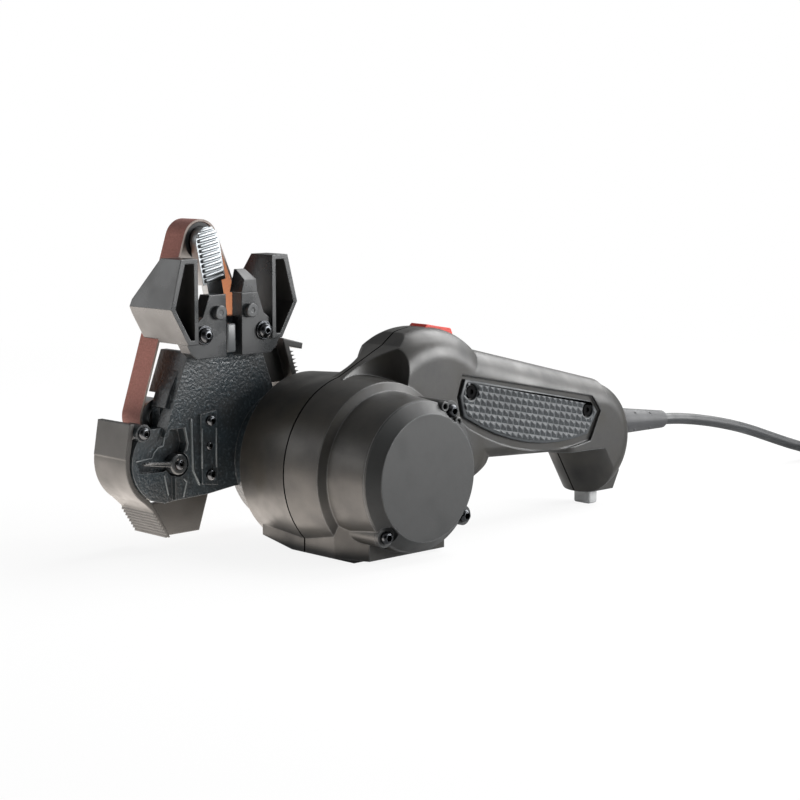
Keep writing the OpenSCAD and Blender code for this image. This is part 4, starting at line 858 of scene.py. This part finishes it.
def seen_rays(tree, mirrored):
    """A socket: 1 for rays that see the background straight or through glass, and a share in mirrors."""
    ray = add(tree, "LightPath")
    seen = add(tree, "Math", {0: ray.outputs["Is Camera Ray"], 1: ray.outputs["Is Transmission Ray"]},
               operation="MAXIMUM")
    part = add(tree, "Math", {0: ray.outputs["Is Glossy Ray"], 1: mirrored}, operation="MULTIPLY")
    return add(tree, "Math", {0: seen.outputs[0], 1: part.outputs[0]}, operation="MAXIMUM").outputs[0]


def stage_sheet(name, material, spread):
    """A flat sheet of the studio, one face spread by a matrix, that isn't part of the object."""
    shape = bmesh.new()
    bmesh.ops.create_grid(shape, x_segments=1, y_segments=1, size=1, matrix=spread)
    mesh = bpy.data.meshes.new(name)
    shape.to_mesh(mesh)
    shape.free()
    mesh.materials.append(material)
    made = bpy.data.objects.new(name, mesh)
    bpy.context.scene.collection.objects.link(made)
    print(name, "of", material.name)
    return made


# Matt white paper: it glows as the background does, and mixes in its own shade near the object
paper = bpy.data.materials.new("white_paper_sweep")
paper.use_nodes = True
tree = paper.node_tree
tree.nodes.clear()
away = add(tree, "VectorMath", {0: add(tree, "TexCoord").outputs["Object"]}, operation="LENGTH")
fade = add(tree, "MapRange", {"Value": away.outputs["Value"], "From Min": FADE_FROM, "From Max": FADE_TO,
                              "To Min": PAPER_NEAR, "To Max": 1.0})
share = add(tree, "Math", {0: seen_rays(tree, 1.0), 1: fade.outputs["Result"]}, operation="MULTIPLY")
mirror = add(tree, "LightPath").outputs["Is Glossy Ray"]
glow_level = add(tree, "MapRange", {"Value": mirror, "To Min": 1.0, "To Max": FLOOR_MIRRORED})
dull = add(tree, "BsdfDiffuse", {"Color": linear("#f4f4f4")})
glow = add(tree, "Emission", {"Color": linear("#ffffff"), "Strength": glow_level.outputs["Result"]})
mixed = add(tree, "MixShader", {0: share.outputs[0], 1: dull.outputs[0], 2: glow.outputs[0]})
add(tree, "OutputMaterial", {"Surface": mixed.outputs[0]})
stage_sheet("studio_floor", paper, Matrix.Diagonal((FLOOR_HALF, FLOOR_HALF, 1, 1)))

# %% [markdown]
# ## World
# The world is the light from all around. The camera sees it as white, the object is lit by a quarter of
# that so that the lamps can shape it, and mirrors see little more.

# %% World
WORLD_LIGHT, MIRROR_SHARE = 0.26, 0.1
world = bpy.data.worlds.new("studio")
bpy.context.scene.world = world
world.use_nodes = True
tree = world.node_tree
tree.nodes.clear()
level = add(tree, "MapRange", {"Value": seen_rays(tree, MIRROR_SHARE), "To Min": WORLD_LIGHT,
                               "To Max": 1.0})
sky = add(tree, "Background", {"Color": linear("#ffffff"), "Strength": level.outputs["Result"]})
add(tree, "OutputWorld", {"Surface": sky.outputs[0]})
print("world lights with", WORLD_LIGHT, "of white")

# %% [markdown]
# ## Lamps and flag
# On black plastic the highlights are the shape of the lamps, so the lamps are large and soft: a box
# behind and above for the tops, a strong one at the right for the end cap and grip, and a weak one at the
# left. Two warm cards lie on the table and light what faces down: a wide one at the left, under the
# guards, and a narrow one in front. A black flag behind the camera keeps the near faces dark.

# %% Lamps and flag


def soft_box(name, place, towards, size, watts, colour="#ffffff"):
    """A rectangular soft box that the camera itself doesn't see."""
    light = bpy.data.lights.new(name, "AREA")
    light.shape, light.energy = "RECTANGLE", watts
    light.size, light.size_y = size
    light.color = linear(colour)[:3]
    made = bpy.data.objects.new(name, light)
    aim = Vector(towards) - Vector(place)
    made.matrix_world = Matrix.Translation(place) @ aim.to_track_quat("-Z", "Y").to_matrix().to_4x4()
    made.visible_camera = False
    bpy.context.scene.collection.objects.link(made)
    print(name, round(watts / (math.pi * size[0] * size[1]), 2), "W per square metre and steradian")


CARD_WHITE = "#fff4ea"
soft_box("back_box", (0.0, 0.72, 0.74), (0, 0.04, 0.06), (0.8, 0.8), 13.0)
soft_box("right_box", (0.8, 0.74, 0.34), (0.03, 0.04, 0.05), (0.8, 0.5), 17.0)
soft_box("left_box", (-0.8, -0.72, 0.34), (0, 0, 0.06), (0.7, 0.5), 2.2)
soft_box("table_card", (-0.25, -0.12, 0.003), (-0.25, -0.12, 1), (0.44, 0.5), 2.2, CARD_WHITE)
soft_box("front_card", (0.01, -0.198, 0.003), (0.01, -0.198, 1), (0.08, 0.326), 0.27, CARD_WHITE)

# Black felt: it gives back almost nothing
felt = start_finish("black_felt", {"Base Color": linear("#0c0c0c"), "Roughness": 0.9})[0]
FLAG_AWAY, FLAG_HIGH, FLAG_HALF = 1.25, 0.65, (0.9, 0.65)
flag_stand = Matrix.Translation((0, -FLAG_AWAY, FLAG_HIGH)) @ Matrix.Rotation(math.pi / 2, 4, "X")
flag_turn = Matrix.Rotation(AZIMUTH, 4, "Z") @ flag_stand
flag = stage_sheet("black_flag", felt, flag_turn @ Matrix.Diagonal((*FLAG_HALF, 1, 1)))
flag.visible_camera = False

# %% [markdown]
# ## Colour view
# The colours are shown as they are written.

# %% Colour view
bpy.context.scene.view_settings.view_transform = "Standard"
bpy.context.view_layer.update()
